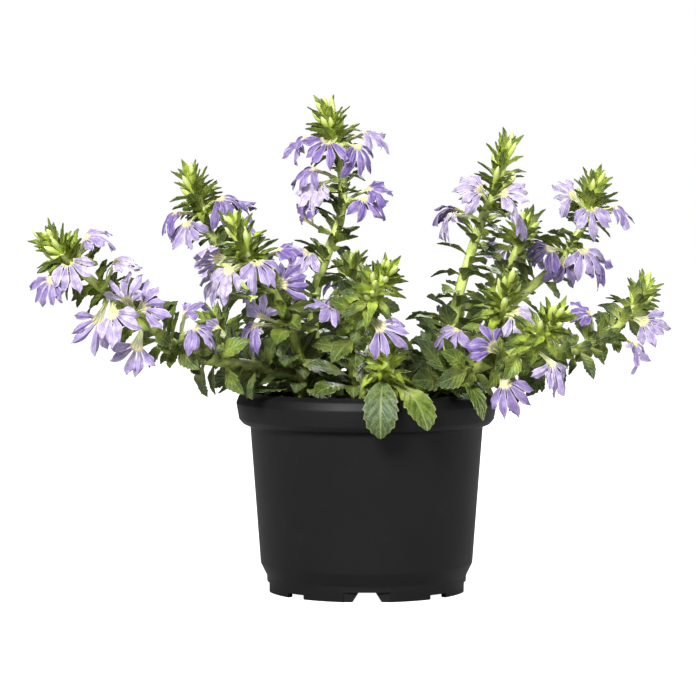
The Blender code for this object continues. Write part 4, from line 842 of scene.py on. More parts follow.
def settle_all(room, name, route, wanted, tries, checks):
    """Settles each organ wanted, which is given as its kind and what grow takes after the route."""
    widest, step, shares = tries
    made = []
    for kind, s, azimuth, lean, length, half, bend in wanted:
        variants = (grow(kind, route, s, azimuth + swing, lean * less, length, half, bend * less)
                    for swing in swings(widest, step) for less in shares)
        made.append(settle(room, name, variants, checks))
    return [organ for organ in made if organ]


def spread(count, route, tip, first, below, free):
    """The share of the way down a crowded tip and the place on its stem of each of count organs."""
    shares = [(k + first) / count for k in range(count)]
    return [(share, route.length - below - share * (tip - free)) for share in shares]


def place_tip(name, stem, route, room, rng):
    """The crowded tip: buds first, then bracts that lean out more from the top down."""
    phase = rng.uniform(0, 2 * math.pi)
    wanted = []
    for k, (share, s) in enumerate(spread(stem["buds"], route, stem["tip"], *BUD_SPREAD)):
        wanted.append(("bud", s, phase + BUDS_TURNED + k * GOLDEN_ANGLE, between(BUD_LEAN, share),
                       between(BUD_LENGTH, share), between(BUD_RADIUS, share), 0))
    for k, (share, s) in enumerate(spread(stem["bracts"], route, stem["tip"], *BRACT_SPREAD)):
        wanted.append(("bract", s, phase + k * GOLDEN_ANGLE, between(BRACT_LEAN, share),
                       between(BRACT_LENGTH, share), between(BRACT_HALF_WIDTH, share),
                       between(BRACT_BEND, share)))
    return settle_all(room, name, route, wanted, TIP_TRIES, lambda o: clear_of_pot(o.samples()))


def place_broad_leaf(name, route, room, up, direction, length, half, bend):
    """A large leaf low on the plant, which arches over the rim."""
    root = route.point(up)

    def off_stem(organ):
        outer = organ.points[len(organ.points) // 2:]
        off = away_from_line(outer, route.line) > route.radius(up) + BROAD_OFF_STEM
        return off.all() and clear_of_pot(organ.samples())

    widest, step, shares = BROAD_TRIES
    variants = (
        blade("broad", root, unit(np.array(direction) + (0, 0, math.sin(lift))), (0, 0, 1), length, half,
              bend * less, BROAD_OUTLINE)
        for lift in swings(widest, step) for less in shares
    )
    return settle(room, name, variants, off_stem)


def place_leaves(name, stem, route, room, rng):
    """Leaves spiral down the stem, longer lower down, and turn aside from what is already there."""
    count, shortest, longest = stem["leaves"]
    top = route.length - stem["tip"] - 1
    span = top - ROOTED - LEAVES_UP
    phase = rng.uniform(0, 2 * math.pi)
    wanted = []
    for k in range(count):
        share = (k + rng.uniform(*LEAF_STRAY)) / count
        length = shortest + (longest - shortest) * share * rng.uniform(*LEAF_LENGTH_VARIES)
        lean, bend = rng.uniform(*LEAF_LEAN), rng.uniform(*LEAF_BEND)
        wanted.append(("leaf", top - share * span, phase + k * GOLDEN_ANGLE, lean, length,
                       LEAF_HALF_WIDTH_SHARE * length, bend))
    return settle_all(room, name, route, wanted, LEAF_TRIES, lambda o: clear_of_pot(o.samples()[1:]))


def place_extra(name, stem, route, room, rng, bracts, leaves, close_leaves):
    """Leaves and bracts past the limits of the solids, wherever the plant still has room for one."""
    top = route.length - stem["tip"]
    buds = EXTRA_BUDS if stem["buds"] else 0
    wanted = []
    for share, s in spread(buds, route, stem["tip"], *EXTRA_BUD_SPREAD):
        wanted.append(("bud", s, between(EXTRA_BUD_LEAN, share), rng.uniform(*EXTRA_BUD_LENGTH),
                       rng.uniform(*EXTRA_BUD_RADIUS), 0))
    for share, s in spread(bracts, route, stem["tip"], *EXTRA_BRACT_SPREAD):
        wanted.append(("bract", s, between(EXTRA_BRACT_LEAN, share), between(EXTRA_BRACT_LENGTH, share),
                       between(EXTRA_BRACT_HALF_WIDTH, share), between(BRACT_BEND, share)))
    for per_100, lean, lengths in ((leaves, EXTRA_LEAF_LEAN, EXTRA_LEAF_LENGTH),
                                   (close_leaves, CLOSE_LEAF_LEAN, CLOSE_LEAF_LENGTH)):
        count = round(per_100 * (top - ROOTED) / 100)
        for k in range(count):
            share = (k + rng.uniform(*EXTRA_LEAF_STRAY)) / count
            length = between(lengths, share) * rng.uniform(*EXTRA_LEAF_VARIES)
            wanted.append(("leaf", top - share * (top - ROOTED - EXTRA_UP), rng.uniform(*lean), length,
                           LEAF_HALF_WIDTH_SHARE * length, rng.uniform(*LEAF_BEND)))
    for below, _ in stem["sprays"]:
        for _ in range(BLOOM_LEAVES):
            length = rng.uniform(*BLOOM_LEAF_LENGTH)
            s = route.length - below + rng.uniform(-BLOOM_LEAF_STRAY, BLOOM_LEAF_STRAY)
            wanted.append(("leaf", s, rng.uniform(*EXTRA_LEAF_LEAN), length, LEAF_HALF_WIDTH_SHARE * length,
                           rng.uniform(*LEAF_BEND)))
    turned_all = [(kind, s, rng.uniform(0, 2 * math.pi), *rest) for kind, s, *rest in wanted]
    return settle_all(room, name, route, turned_all, EXTRA_TRIES, lambda o: clear_of_pot(o.samples(3)[1:]))


@lru_cache(maxsize=None)
def plan(bracts, leaves, close_leaves):
    """Places every organ of the plant: {spray: its sheet}, {stem: organs} and {stem: route}. The three
    numbers are of the bracts and leaves past the limits of the solids."""
    routes = {name: Route(stem["root"], stem["route"]) for name, stem in STEMS.items()}
    room = Room(routes)
    blooms = place_sprays(STEMS, routes, room)
    green = {name: [] for name in STEMS}

    def grow_all(place, seed, *numbers):
        for index, (name, stem) in enumerate(STEMS.items()):
            green[name] += place(name, stem, routes[name], room, random.Random(seed + index), *numbers)

    def grow_broad(leaves_wanted):
        for name, *shape in leaves_wanted:
            leaf = place_broad_leaf(name, routes[name], room, *shape)
            green[name] += [leaf] if leaf else []

    grow_all(place_tip, SEED)
    grow_broad(BROAD_LEAVES)
    grow_all(place_leaves, LEAF_SEED)
    grow_broad(EXTRA_BROAD_LEAVES)
    grow_all(place_extra, EXTRA_SEED, bracts, leaves, close_leaves)
    return blooms, green, routes


# Fine blades: (share of the length, share of the half width) from root to tip. A drop in width after a
# widest point is a tooth of the margin.
FINE_OUTLINES = {
    "bract": ((0.0, 0.50), (0.14, 0.62), (0.30, 0.86), (0.46, 1.0), (0.56, 0.96), (0.60, 0.80),
              (0.72, 0.66), (0.75, 0.54), (0.86, 0.34), (0.94, 0.17)),
    "leaf": ((0.0, 0.20), (0.10, 0.22), (0.22, 0.34), (0.34, 0.62), (0.46, 0.90), (0.55, 1.0),
             (0.58, 0.84), (0.66, 0.90), (0.69, 0.72), (0.77, 0.72), (0.80, 0.54), (0.87, 0.46),
             (0.90, 0.32), (0.96, 0.15)),
    "broad": ((0.0, 0.12), (0.12, 0.15), (0.24, 0.28), (0.36, 0.52), (0.48, 0.80), (0.57, 0.98),
              (0.59, 0.86), (0.67, 1.04), (0.69, 0.90), (0.77, 0.98), (0.79, 0.82), (0.86, 0.80),
              (0.88, 0.62), (0.93, 0.52), (0.95, 0.34), (0.985, 0.18)),
}
# How wide and how long a fine blade is for its plain solid, and how far its midrib lies below its margins
FINE_SHARES = {"bract": (0.86, 1.0, 1.0), "leaf": (1.0, 1.0, 1.1), "broad": (1.06, 0.93, 0.7)}
BLADE_COLUMNS = (-1.0, -0.62, -0.24, 0.0, 0.24, 0.62, 1.0)
BLADE_THICKNESS, MIDRIB_THICKNESS = 0.24, 0.5
# The fold of a blade: its depth for the keel of the plain solid, how that varies, how sharp it is, and how
# soon it reaches its depth as the blade widens
FOLD, FOLD_VARIES, FOLD_SHARP, FOLD_SOON = 0.75, (0.5, 1.6), 1.3, 1.3
TWIST, CURL_VARIES = (-0.5, 0.5), (0.9, 1.25)
# Ripples of a margin: their height, how fast they follow each other along it, how far those of the two
# sides are apart, and where the first may start, in radians
RIPPLE, RIPPLE_WAVES, RIPPLE_APART, RIPPLE_START = (0.2, 0.8), 15, 1.3, (0, 6.3)
# The side veins of a leaf: how fast they follow each other up it, how far they slope towards its tip,
# and how high the leaf rises between them for its half width
VEINS, VEIN_SLOPE, QUILT = 46.0, 0.28, 0.045
UNDERSIDE = 0.18
# Ages that colour a blade, from 0 when it has just unfolded to 1 when it is old. The two large leaves
# at the front are of different ages.
BRACT_AGES, LEAF_AGES, BROAD_AGE = (0.0, 0.42), (0.24, 0.72), 0.6
BROAD_AGES = {"young_front": (0.8, 0.22), "front_right": (0.6, 0.3)}
# How far below the end of its stem a bract is as dark as bracts get
BRACTS_DARKEN = 26.0

# Fine blooms. The outline of a lobe is (share of the length, share of the half width).
LOBE_OUTLINE = ((0.0, 0.42), (0.12, 0.46), (0.3, 0.72), (0.5, 1.08), (0.68, 1.26), (0.82, 1.2),
                (0.92, 0.86), (1.0, 0.14))
LOBE_COLUMNS, LOBE_ROWS, TUBE_ROWS = 8, 10, 6
PETAL_THICKNESS, TUBE_FLARE = 0.22, 1.7
# Along each lobe run a midrib and two side ribs: how high they rise, how narrow they are, and where the
# side ribs lie between the midrib and the margin
RIB_RISE, MIDRIB_NARROW, SIDE_RIB_NARROW, SIDE_RIB_AT = 0.28, 3.2, 4, 0.5
# How lobes differ: ripple of the wings, droop and roll, sweep to one side, width, length, and sag
LOBE_RIPPLE, LOBE_WAVES, LOBE_WAVES_APART = (0.6, 1.4), 11, 1.9
LOBE_DROOP, LOBE_ROLL, LOBE_SWEEP = (-2.5, 4.5), (-1.0, 2.0), (-0.24, 0.24)
LOBE_PINCH, LOBE_GROWN, LOBE_SAG = (0.8, 1.1), (0.96, 1.1), (0.0, 3.2)
# How soon a lobe lies along its own direction, how far its tip is cut away on its short side and at both
# margins, how far its tip moves aside and from where, and how much its foot is hollowed
LOBE_TURNS, SHORT_SIDE_CUT, MARGIN_CUT = 2.2, 0.17, 0.05
TIP_ASIDE, TIP_FROM, FOOT_HOLLOW = 0.4, 0.7, 0.45
# The green seat below a bloom and the style in its tube: where they begin and end, and their radii
SEAT_SUNK, SEAT_SPAN, SEAT_RADII = 0.2, (-0.2, 4.2), (0.8, 1.25, 1.4, 1.3, 1.05, 0.8)
STYLE_SPAN, STYLE_RADII = (0.25, 1.06), (0.28, 0.3, 0.3, 0.3, 0.34, 0.62, 0.5)
SEAT_AGE, SEAT_SIDES, STYLE_SIDES = 0.15, 8, 6
# The style bows towards the tube's slit, and its end hooks back towards the lobes
BOW, BOW_WAVES, BOW_ASIDE, HOOK, HOOK_FROM, HOOK_SHARP = 1.1, 3.0, 0.2, 14.4, 0.7, 1.5

# Fine buds: the profile is (share of the length, share of the radius), and the bow is sideways
BUD_PROFILE = ((0.0, 0.50), (0.14, 0.58), (0.34, 0.68), (0.54, 0.86), (0.70, 1.0), (0.83, 0.86),
               (0.94, 0.46), (1.02, 0.10))
BUD_SIDES, BUD_PLUMP, BUD_BOW, BUD_BOW_WAVES = 8, 1.06, 0.5, 2.6

# Fine stems: points to each chord of the plain one, sides, ribs, the swelling where an organ leaves the
# stem, how thin its growing point is, and how young an upright stem looks
STEM_PARTS, STEM_SIDES, STEM_RIBS, STEM_RIB_DEPTH = 6, 15, 5, 0.08
JOINT_SWELL, JOINT_LENGTH, GROWING_POINT, UPRIGHT_YOUNG = 0.35, 1.8, 0.7, 1.05
# How finely a stem is searched for the place where an organ leaves it
LOOK_STEP = 2.0
# How far the cap of a round body stands out, as a share of its last radius
CAP_SHARE = 0.4

# The finishes of a stem's piece and of a bloom's, by their numbers in it
STEM_FINISH, LEAF_FINISH, BUD_FINISH = range(3)
PETAL_FINISH, SEAT_FINISH = range(2)


class Skin:
    """Points, faces, finishes and colour hints of one piece, gathered before its mesh is made. A hint
    is how far across (-1 to 1) and how far along (0 to 1) a point lies, chance is a number from 0 to 1
    drawn for the organ, and age runs from 0 at a fresh tip to 1 at an old leaf."""

    def __init__(self):
        self.points, self.hints, self.ages = [], [], []
        self.faces, self.numbers, self.count = [], [], 0

    def add(self, points, faces, hints, chance, age=0.0, number=0):
        """Adds the skin of one organ, in the piece's finish of this number."""
        points = np.asarray(points, float)
        self.faces += [tuple(int(i) + self.count for i in face) for face in faces]
        self.numbers += [number] * len(faces)
        self.points.append(points)
        self.hints.append(np.column_stack([hints, np.full(len(points), chance)]))
        self.ages.append(np.broadcast_to(age, len(points)).astype(float))
        self.count += len(points)

    def piece(self, name, makers):
        """Makes the object with its finishes, shaded smooth with its thin rims sharp."""
        mesh = bpy.data.meshes.new(name)
        mesh.from_pydata((np.concatenate(self.points) * MM).tolist(), [], self.faces)
        for maker in makers:
            mesh.materials.append(finish(maker))
        mesh.polygons.foreach_set("material_index", self.numbers)
        hint = mesh.attributes.new("hint", "FLOAT_VECTOR", "POINT")
        hint.data.foreach_set("vector", np.concatenate(self.hints).ravel().astype(np.float32))
        age = mesh.attributes.new("age", "FLOAT", "POINT")
        age.data.foreach_set("value", np.concatenate(self.ages).astype(np.float32))
        mesh.validate()
        mesh.shade_smooth()
        mesh.set_sharp_from_angle(angle=SHARP)
        return add_object(name, mesh)


def add_object(name, data):
    """An object in the scene with this mesh, light or camera."""
    made = bpy.data.objects.new(name, data)
    bpy.context.scene.collection.objects.link(made)
    return made


def grid_faces(rows, columns):
    """Quads of a grid of points that is numbered row by row."""
    return [(r * columns + c, r * columns + c + 1, (r + 1) * columns + c + 1, (r + 1) * columns + c)
            for r in range(rows - 1) for c in range(columns - 1)]


def closed_sheet(points, faces, depth):
    """A thin closed body from an open sheet: a second skin lies depth below each point inside the
    sheet, and both skins share its rim. Returns the points, the faces and where each new point
    came from."""
    normals = np.zeros_like(points)
    uses = {}
    for face in faces:
        corner = points[list(face)]
        across = np.cross(corner[1] - corner[0], corner[-1] - corner[0])
        normals[list(face)] += across / max(np.linalg.norm(across), 1e-9)
        for a, b in zip(face, face[1:] + face[:1]):
            edge = (min(a, b), max(a, b))
            uses[edge] = uses.get(edge, 0) + 1
    normals /= np.maximum(np.linalg.norm(normals, axis=1), 1e-9)[:, None]
    rim = {i for edge, count in uses.items() if count == 1 for i in edge}
    inner = [i for i in range(len(points)) if i not in rim]
    twin = np.arange(len(points))
    twin[inner] = len(points) + np.arange(len(inner))
    under = points[inner] - np.asarray(depth)[inner, None] * normals[inner]
    back = [tuple(twin[list(face)])[::-1] for face in faces]
    return np.vstack([points, under]), faces + back, np.array(list(range(len(points))) + inner)


def frames_along(line):
    """Two directions square to a line at each of its points, carried along it without twist."""
    steps = np.gradient(line, axis=0)
    east = square_to((0.13, 0.98, 0.11) if abs(unit(steps[0])[1]) < 0.9 else (1.0, 0.1, 0.0),
                     unit(steps[0]))
    made = []
    for step in steps:
        along = unit(step)
        east = square_to(east, along)
        made.append((east, np.cross(along, east)))
    return made


def round_body(line, radii, sides, ribs=0, depth=0.0):
    """A closed round body along a line, with a radius at each point and perhaps ribs along it, flat at
    its start and with a low cap at its end. Returns its points, faces and hints."""
    line = np.asarray(line, float)
    points, hints = [line[0]], [(0.0, 0.0)]
    for i, ((east, north), radius) in enumerate(zip(frames_along(line), radii)):
        for k in range(sides):
            turn = 2 * math.pi * k / sides
            out = radius * (1 + depth * math.cos(ribs * turn))
            points.append(line[i] + out * (math.cos(turn) * east + math.sin(turn) * north))
            hints.append((2 * abs(k / sides - 0.5), i / (len(line) - 1)))
    points.append(line[-1] + CAP_SHARE * radii[-1] * unit(line[-1] - line[-2]))
    hints.append((0.0, 1.0))
    last = len(points) - 1
    faces = [(0, 1 + (k + 1) % sides, 1 + k) for k in range(sides)]
    for i in range(len(line) - 1):
        a = 1 + i * sides
        faces += [(a + k, a + (k + 1) % sides, a + sides + (k + 1) % sides, a + sides + k)
                  for k in range(sides)]
    a = last - sides
    faces += [(a + k, a + (k + 1) % sides, last) for k in range(sides)]
    return np.array(points), faces, np.array(hints)


def add_blade(skin, organ, age, rng):
    """A leaf or bract: valley-folded at its midrib, toothed, slightly twisted and rippled, on the arch
    of its plain solid."""
    root, direction, upper, length, half_width, bend = organ.form[:6]
    d = unit(direction)
    n = square_to(upper, d)
    side = np.cross(d, n)
    outline = FINE_OUTLINES[organ.kind]
    wide, long, deep = FINE_SHARES[organ.kind]
    half_width, length = half_width * wide, length * long
    deep *= rng.uniform(*FOLD_VARIES)
    twist, ripple, phase = rng.uniform(*TWIST), rng.uniform(*RIPPLE), rng.uniform(*RIPPLE_START)
    curl = math.radians(bend) * long * rng.uniform(*CURL_VARIES)
    u = np.array(BLADE_COLUMNS)
    if organ.kind == "broad":
        u = np.linspace(-1, 1, 2 * len(BLADE_COLUMNS) - 1)
        rows = np.linspace(0, len(outline) - 1, 3 * len(outline) - 2)
        outline = [tuple(np.interp(k, range(len(outline)), column) for column in zip(*outline)) for k in rows]
    points, hints = [], []
    for t, share in outline:
        place, normal = arch(root, d, n, length, curl, t)
        across = side * math.cos(twist * t) + normal * math.sin(twist * t)
        normal = normal * math.cos(twist * t) - side * math.sin(twist * t)
        fold = -FOLD * KEEL * deep * min(1.0, share * FOLD_SOON) * (1 - np.abs(u)) ** FOLD_SHARP
        wave = ripple * share * np.abs(u) ** 2 * np.sin(phase + RIPPLE_WAVES * t + RIPPLE_APART * (u > 0))
        quilt = QUILT * half_width * share * np.sin(VEINS * (t - VEIN_SLOPE * np.abs(u))) * np.abs(u) ** 0.5
        points.append(place + half_width * share * u[:, None] * across
                      + (fold + wave + quilt)[:, None] * normal)
        hints += [(x, t) for x in u]
    points = np.vstack(points + [arch(root, d, n, length, curl, 1.0)[0][None]])
    hints.append((0.0, 1.0))
    columns, rows = len(u), len(outline)
    faces = grid_faces(rows, columns)
    last = (rows - 1) * columns
    faces += [(last + c, last + c + 1, rows * columns) for c in range(columns - 1)]
    hints = np.array(hints)
    depth = BLADE_THICKNESS + (MIDRIB_THICKNESS - BLADE_THICKNESS) * (hints[:, 0] == 0)
    points, faces, source = closed_sheet(points, faces, depth)
    below = np.arange(len(points)) >= len(hints)
    skin.add(points, faces, hints[source], rng.random(), age + UNDERSIDE * below, LEAF_FINISH)


def add_bud(skin, organ, rng):
    """A closed bud: a slender club that ends in a blunt, slightly bent tip."""
    start, direction, length, radius = organ.form
    bow = square_to((rng.uniform(-1, 1), rng.uniform(-1, 1), rng.uniform(-1, 1)), direction)
    share = np.array([t for t, _ in BUD_PROFILE])
    aside = BUD_BOW * np.sin(share * BUD_BOW_WAVES)
    line = start + direction * length * share[:, None] + bow * aside[:, None]
    points, faces, hints = round_body(line, [BUD_PLUMP * radius * w for _, w in BUD_PROFILE], BUD_SIDES)
    skin.add(points, faces, hints, rng.random(), number=BUD_FINISH)


def add_bloom(skin, form, rng):
    """One bloom: a slit tube, five winged lobes on one side of its throat, the green seat below it and
    the style that lies in its slit."""
    fan, (left, mid, right), tube = form
    columns = LOBES * LOBE_COLUMNS + 1
    share = np.linspace(0, 1, columns)
    foot = np.array([left + (mid - left) * 2 * s if s < 0.5 else mid + (right - mid) * (2 * s - 1)
                     for s in share])
    ring = np.array([fan.ring(s) for s in share])
    points, hints = [], []
    for v in np.linspace(0, 1, TUBE_ROWS + 1):
        flare = v ** TUBE_FLARE
        centre = foot.mean(0) * (1 - v) + ring.mean(0) * v
        points.append(centre + (foot - foot.mean(0)) * (1 - flare) + (ring - ring.mean(0)) * flare)
        hints += [(2 * s - 1, v - 1) for s in share]
    faces = grid_faces(TUBE_ROWS + 1, columns)
    base = TUBE_ROWS * columns
    count = (TUBE_ROWS + 1) * columns
    u = np.linspace(-1, 1, LOBE_COLUMNS + 1)
    for k, (angle, length, slant, lift) in enumerate(fan.lobes):
        start = ((k + 0.5) / LOBES - 0.5) * LOBES * LOBE_STEP * THROAT_SPREAD
        phase, ripple = rng.uniform(*RIPPLE_START), rng.uniform(*LOBE_RIPPLE)
        droop, roll = rng.uniform(*LOBE_DROOP), rng.uniform(*LOBE_ROLL)
        sweep, pinch = rng.uniform(*LOBE_SWEEP), rng.uniform(*LOBE_PINCH)
        length = length * rng.uniform(*LOBE_GROWN)
        sag = np.array([0.0, 0.0, -rng.uniform(*LOBE_SAG)])
        previous = [base + k * LOBE_COLUMNS + c for c in range(LOBE_COLUMNS + 1)]
        for t in np.linspace(0, 1, LOBE_ROWS + 1)[1:]:
            width = pinch * LOBE_HALF_WIDTH * np.interp(t, *zip(*LOBE_OUTLINE))
            bearing = start + (angle - start) * min(1.0, LOBE_TURNS * t) + sweep * t * t
            row = []
            for x in u:
                cut = SHORT_SIDE_CUT * max(0.0, slant * x) * t ** 2 + MARGIN_CUT * abs(x) * t ** 3
                radius = THROAT_RADIUS + (length - THROAT_RADIUS) * t * (1 - cut)
                aside = TIP_ASIDE * slant * LOBE_HALF_WIDTH * max(0.0, t - TIP_FROM)
                across = math.atan2(width * x - aside, radius)
                wave = phase + LOBE_WAVES * t + (LOBE_WAVES_APART if x > 0 else 0)
                wing = ripple * x * x * math.sin(wave)
                ribs = RIB_RISE * (max(0.0, 1 - MIDRIB_NARROW * abs(x))
                                   - max(0.0, 1 - SIDE_RIB_NARROW * abs(abs(x) - SIDE_RIB_AT)))
                rise = (lift * x * t + wing * t - FOOT_HOLLOW * abs(x) * (1 - t) - droop * t ** 3
                        - roll * x * x * t + ribs)
                row.append(fan.at(radius, bearing + across, rise) + sag * t * t)
                hints.append((x, t))
            points.append(np.array(row))
            here = [count + c for c in range(LOBE_COLUMNS + 1)]
            faces += [(previous[c], previous[c + 1], here[c + 1], here[c]) for c in range(LOBE_COLUMNS)]
            previous, count = here, count + LOBE_COLUMNS + 1
    points, hints = np.vstack(points), np.array(hints)
    points, faces, source = closed_sheet(points, faces, np.full(len(points), PETAL_THICKNESS))
    chance = rng.random()
    skin.add(points, faces, hints[source], chance, number=PETAL_FINISH)

    seat = mid - SEAT_SUNK * tube + np.outer(np.linspace(*SEAT_SPAN, len(SEAT_RADII)), tube)
    skin.add(*round_body(seat, SEAT_RADII, SEAT_SIDES), chance, SEAT_AGE, SEAT_FINISH)
    open_side = -square_to(fan.middle, tube)
    reach = np.linspace(*STYLE_SPAN, len(STYLE_RADII))
    style = (mid + np.outer(reach * TUBE_LENGTH, tube)
             + np.outer(BOW * np.sin(reach * BOW_WAVES) + BOW_ASIDE, open_side)
             + np.outer(HOOK * np.maximum(0, reach - HOOK_FROM) ** HOOK_SHARP, -open_side))
    skin.add(*round_body(style, STYLE_RADII, STYLE_SIDES), chance, number=SEAT_FINISH)


def add_stem(skin, route, organs, rng):
    """The stem itself: a smooth line through the plain stem's points, a little swollen where each
    leaf leaves it and faintly ribbed."""
    ends = np.vstack([2 * route.line[0] - route.line[1], route.line, 2 * route.line[-1] - route.line[-2]])
    joints = np.array([route.at[-1]] + [how_far_up(route, o.form[0]) for o in organs])
    line, radii = [], []
    for i in range(len(route.line) - 1):
        for t in np.arange(STEM_PARTS) / STEM_PARTS:
            line.append(curve_point(*ends[i:i + 4], t))
            s = route.at[i] + (route.at[i + 1] - route.at[i]) * t
            swell = JOINT_SWELL * np.exp(-((joints - s) / JOINT_LENGTH) ** 2).max()
            radii.append(route.radius(s) + swell)
    line.append(route.line[-1])
    radii.append(route.radius(route.length) * GROWING_POINT)
    points, faces, hints = round_body(line, radii, STEM_SIDES, STEM_RIBS, STEM_RIB_DEPTH)
    rise = (route.line[-1, 2] - route.line[1, 2]) / route.length
    age = (1 - hints[:, 1]) * (UPRIGHT_YOUNG - rise)
    skin.add(points, faces, hints, rng.random(), age, STEM_FINISH)


def how_far_up(route, point):
    """How far up a stem the point lies."""
    line = np.array([route.point(s) for s in np.arange(0, route.length, LOOK_STEP)])
    return LOOK_STEP * np.linalg.norm(line - point, axis=1).argmin()


def linear(code):
    """An sRGB hex colour as linear red, green, blue and alpha."""
    parts = [int(code[i:i + 2], 16) / 255 for i in (1, 3, 5)]
    return tuple(p / 12.92 if p <= 0.04045 else ((p + 0.055) / 1.055) ** 2.4 for p in parts) + (1.0,)


def per_mm(size):
    """The scale of a pattern in metres that repeats about once in size millimetres."""
    return 1000.0 / size


def feed(node, sockets):
    """Gives sockets of a shader node, by name or number, a value or the output of another node."""
    for socket, value in sockets.items():
        if isinstance(value, bpy.types.NodeSocket):
            node.id_data.links.new(value, node.inputs[socket])
        else:
            node.inputs[socket].default_value = value


def add_node(tree, kind, sockets=(), output=0, stops=(), **settings):
    """Adds a shader node with its settings, the colours of its ramp (hex or linear) and what feeds its
    sockets, by name or in their order. Returns one of its outputs."""
    made = tree.nodes.new("ShaderNode" + kind)
    for name, value in settings.items():
        setattr(made, name, value)
    if stops:
        ramp = made.color_ramp
        while len(ramp.elements) < len(stops):
            ramp.elements.new(0.5)
        for element, (position, code) in zip(ramp.elements, stops):
            element.position = position
            element.color = linear(code) if isinstance(code, str) else code
    feed(made, sockets if isinstance(sockets, dict) else dict(enumerate(sockets)))
    return made.outputs[output]


def hint_sockets(tree):
    """The across, along, chance and age values that a skin carries."""
    hint = add_node(tree, "Attribute", output="Vector", attribute_name="hint")
    parts = add_node(tree, "SeparateXYZ", (hint,)).node.outputs
    return parts[0], parts[1], parts[2], add_node(tree, "Attribute", output="Fac", attribute_name="age")


# A mix of two colours: its settings, and the sockets of its share and of its colours
COLOUR_MIX = {"data_type": "RGBA", "output": 2}
SHARE, FIRST, SECOND = 0, 6, 7

# How many millimetres a pattern takes to repeat. These follow the real sizes: patches of dust, clods of
#  peat, and the mottling of leaves, stems and petals. On the leaves the mottle is also painted highlight and
#  shade.
DUST_PATCHES, SOIL_CLODS = 22.0, 3.2
LEAF_MOTTLE, STEM_STREAKS, PETAL_MOTTLE = 4.0, 4.0, 3.0
# These are too fine to show at about two pixels to a millimetre, and are drawn as coarse as they need to
# show: the mould's grain is 0.1 mm, the hairs of leaves and buds 0.05 mm, and paper fibres 0.03 mm.
MOULD_GRAIN, LEAF_HAIRS, BUD_DOWN, PAPER_FIBRES = 0.9, 0.8, 0.6, 0.8
# Waves from the middle of an organ to its margin, in radians. The lobes' folds carry both their bump and
# their painted shade.
STEM_GROOVES, TUBE_STREAKS, LOBE_FOLDS = 22.0, 40.0, 14.0


def moulded_polypropylene(tree, place, colours):
    """Polypropylene, injection moulded and coloured black: satin, with the faint grain of a spark-eroded
    mould and a film of pale dust."""
    grain = add_node(tree, "TexNoise", {"Vector": place, "Scale": per_mm(MOULD_GRAIN), "Detail": 3.0})
    dust = add_node(tree, "TexNoise", {"Vector": place, "Scale": per_mm(DUST_PATCHES), "Detail": 6.0,
                                       "Roughness": 0.65})
    colour = add_node(tree, "ValToRGB", (dust,), stops=(
        (0.35, "#111112"), (0.62, colours.pot), (0.8, "#1c1c1d")))
    rough = add_node(tree, "MapRange", (dust, 0.0, 1.0, 0.44, 0.6))
    bump = add_node(tree, "Bump", {"Height": grain, "Strength": 0.18, "Distance": 0.0001})
    return {"Base Color": colour, "Roughness": rough, "Normal": bump, "IOR": 1.49,
            "Specular IOR Level": 0.22}


def potting_soil(tree, place, colours):
    """Peat with bark and fibre, moist: matt, dark reddish brown, with paler crumbs."""
    _, _, chance, _ = hint_sockets(tree)
    clods = add_node(tree, "TexNoise", {"Vector": place, "Scale": per_mm(SOIL_CLODS), "Detail": 8.0,
                                        "Roughness": 0.7})
    both = add_node(tree, "Math", (clods, 0.55, chance), operation="MULTIPLY_ADD")
    colour = add_node(tree, "ValToRGB", (both,), stops=(
        (0.2, "#1c120c"), (0.55, colours.soil), (0.9, "#5d3d27"), (1.0, "#86694a")))
    bump = add_node(tree, "Bump", {"Height": clods, "Strength": 0.8, "Distance": 0.0012})
    return {"Base Color": colour, "Roughness": 0.93, "Normal": bump}


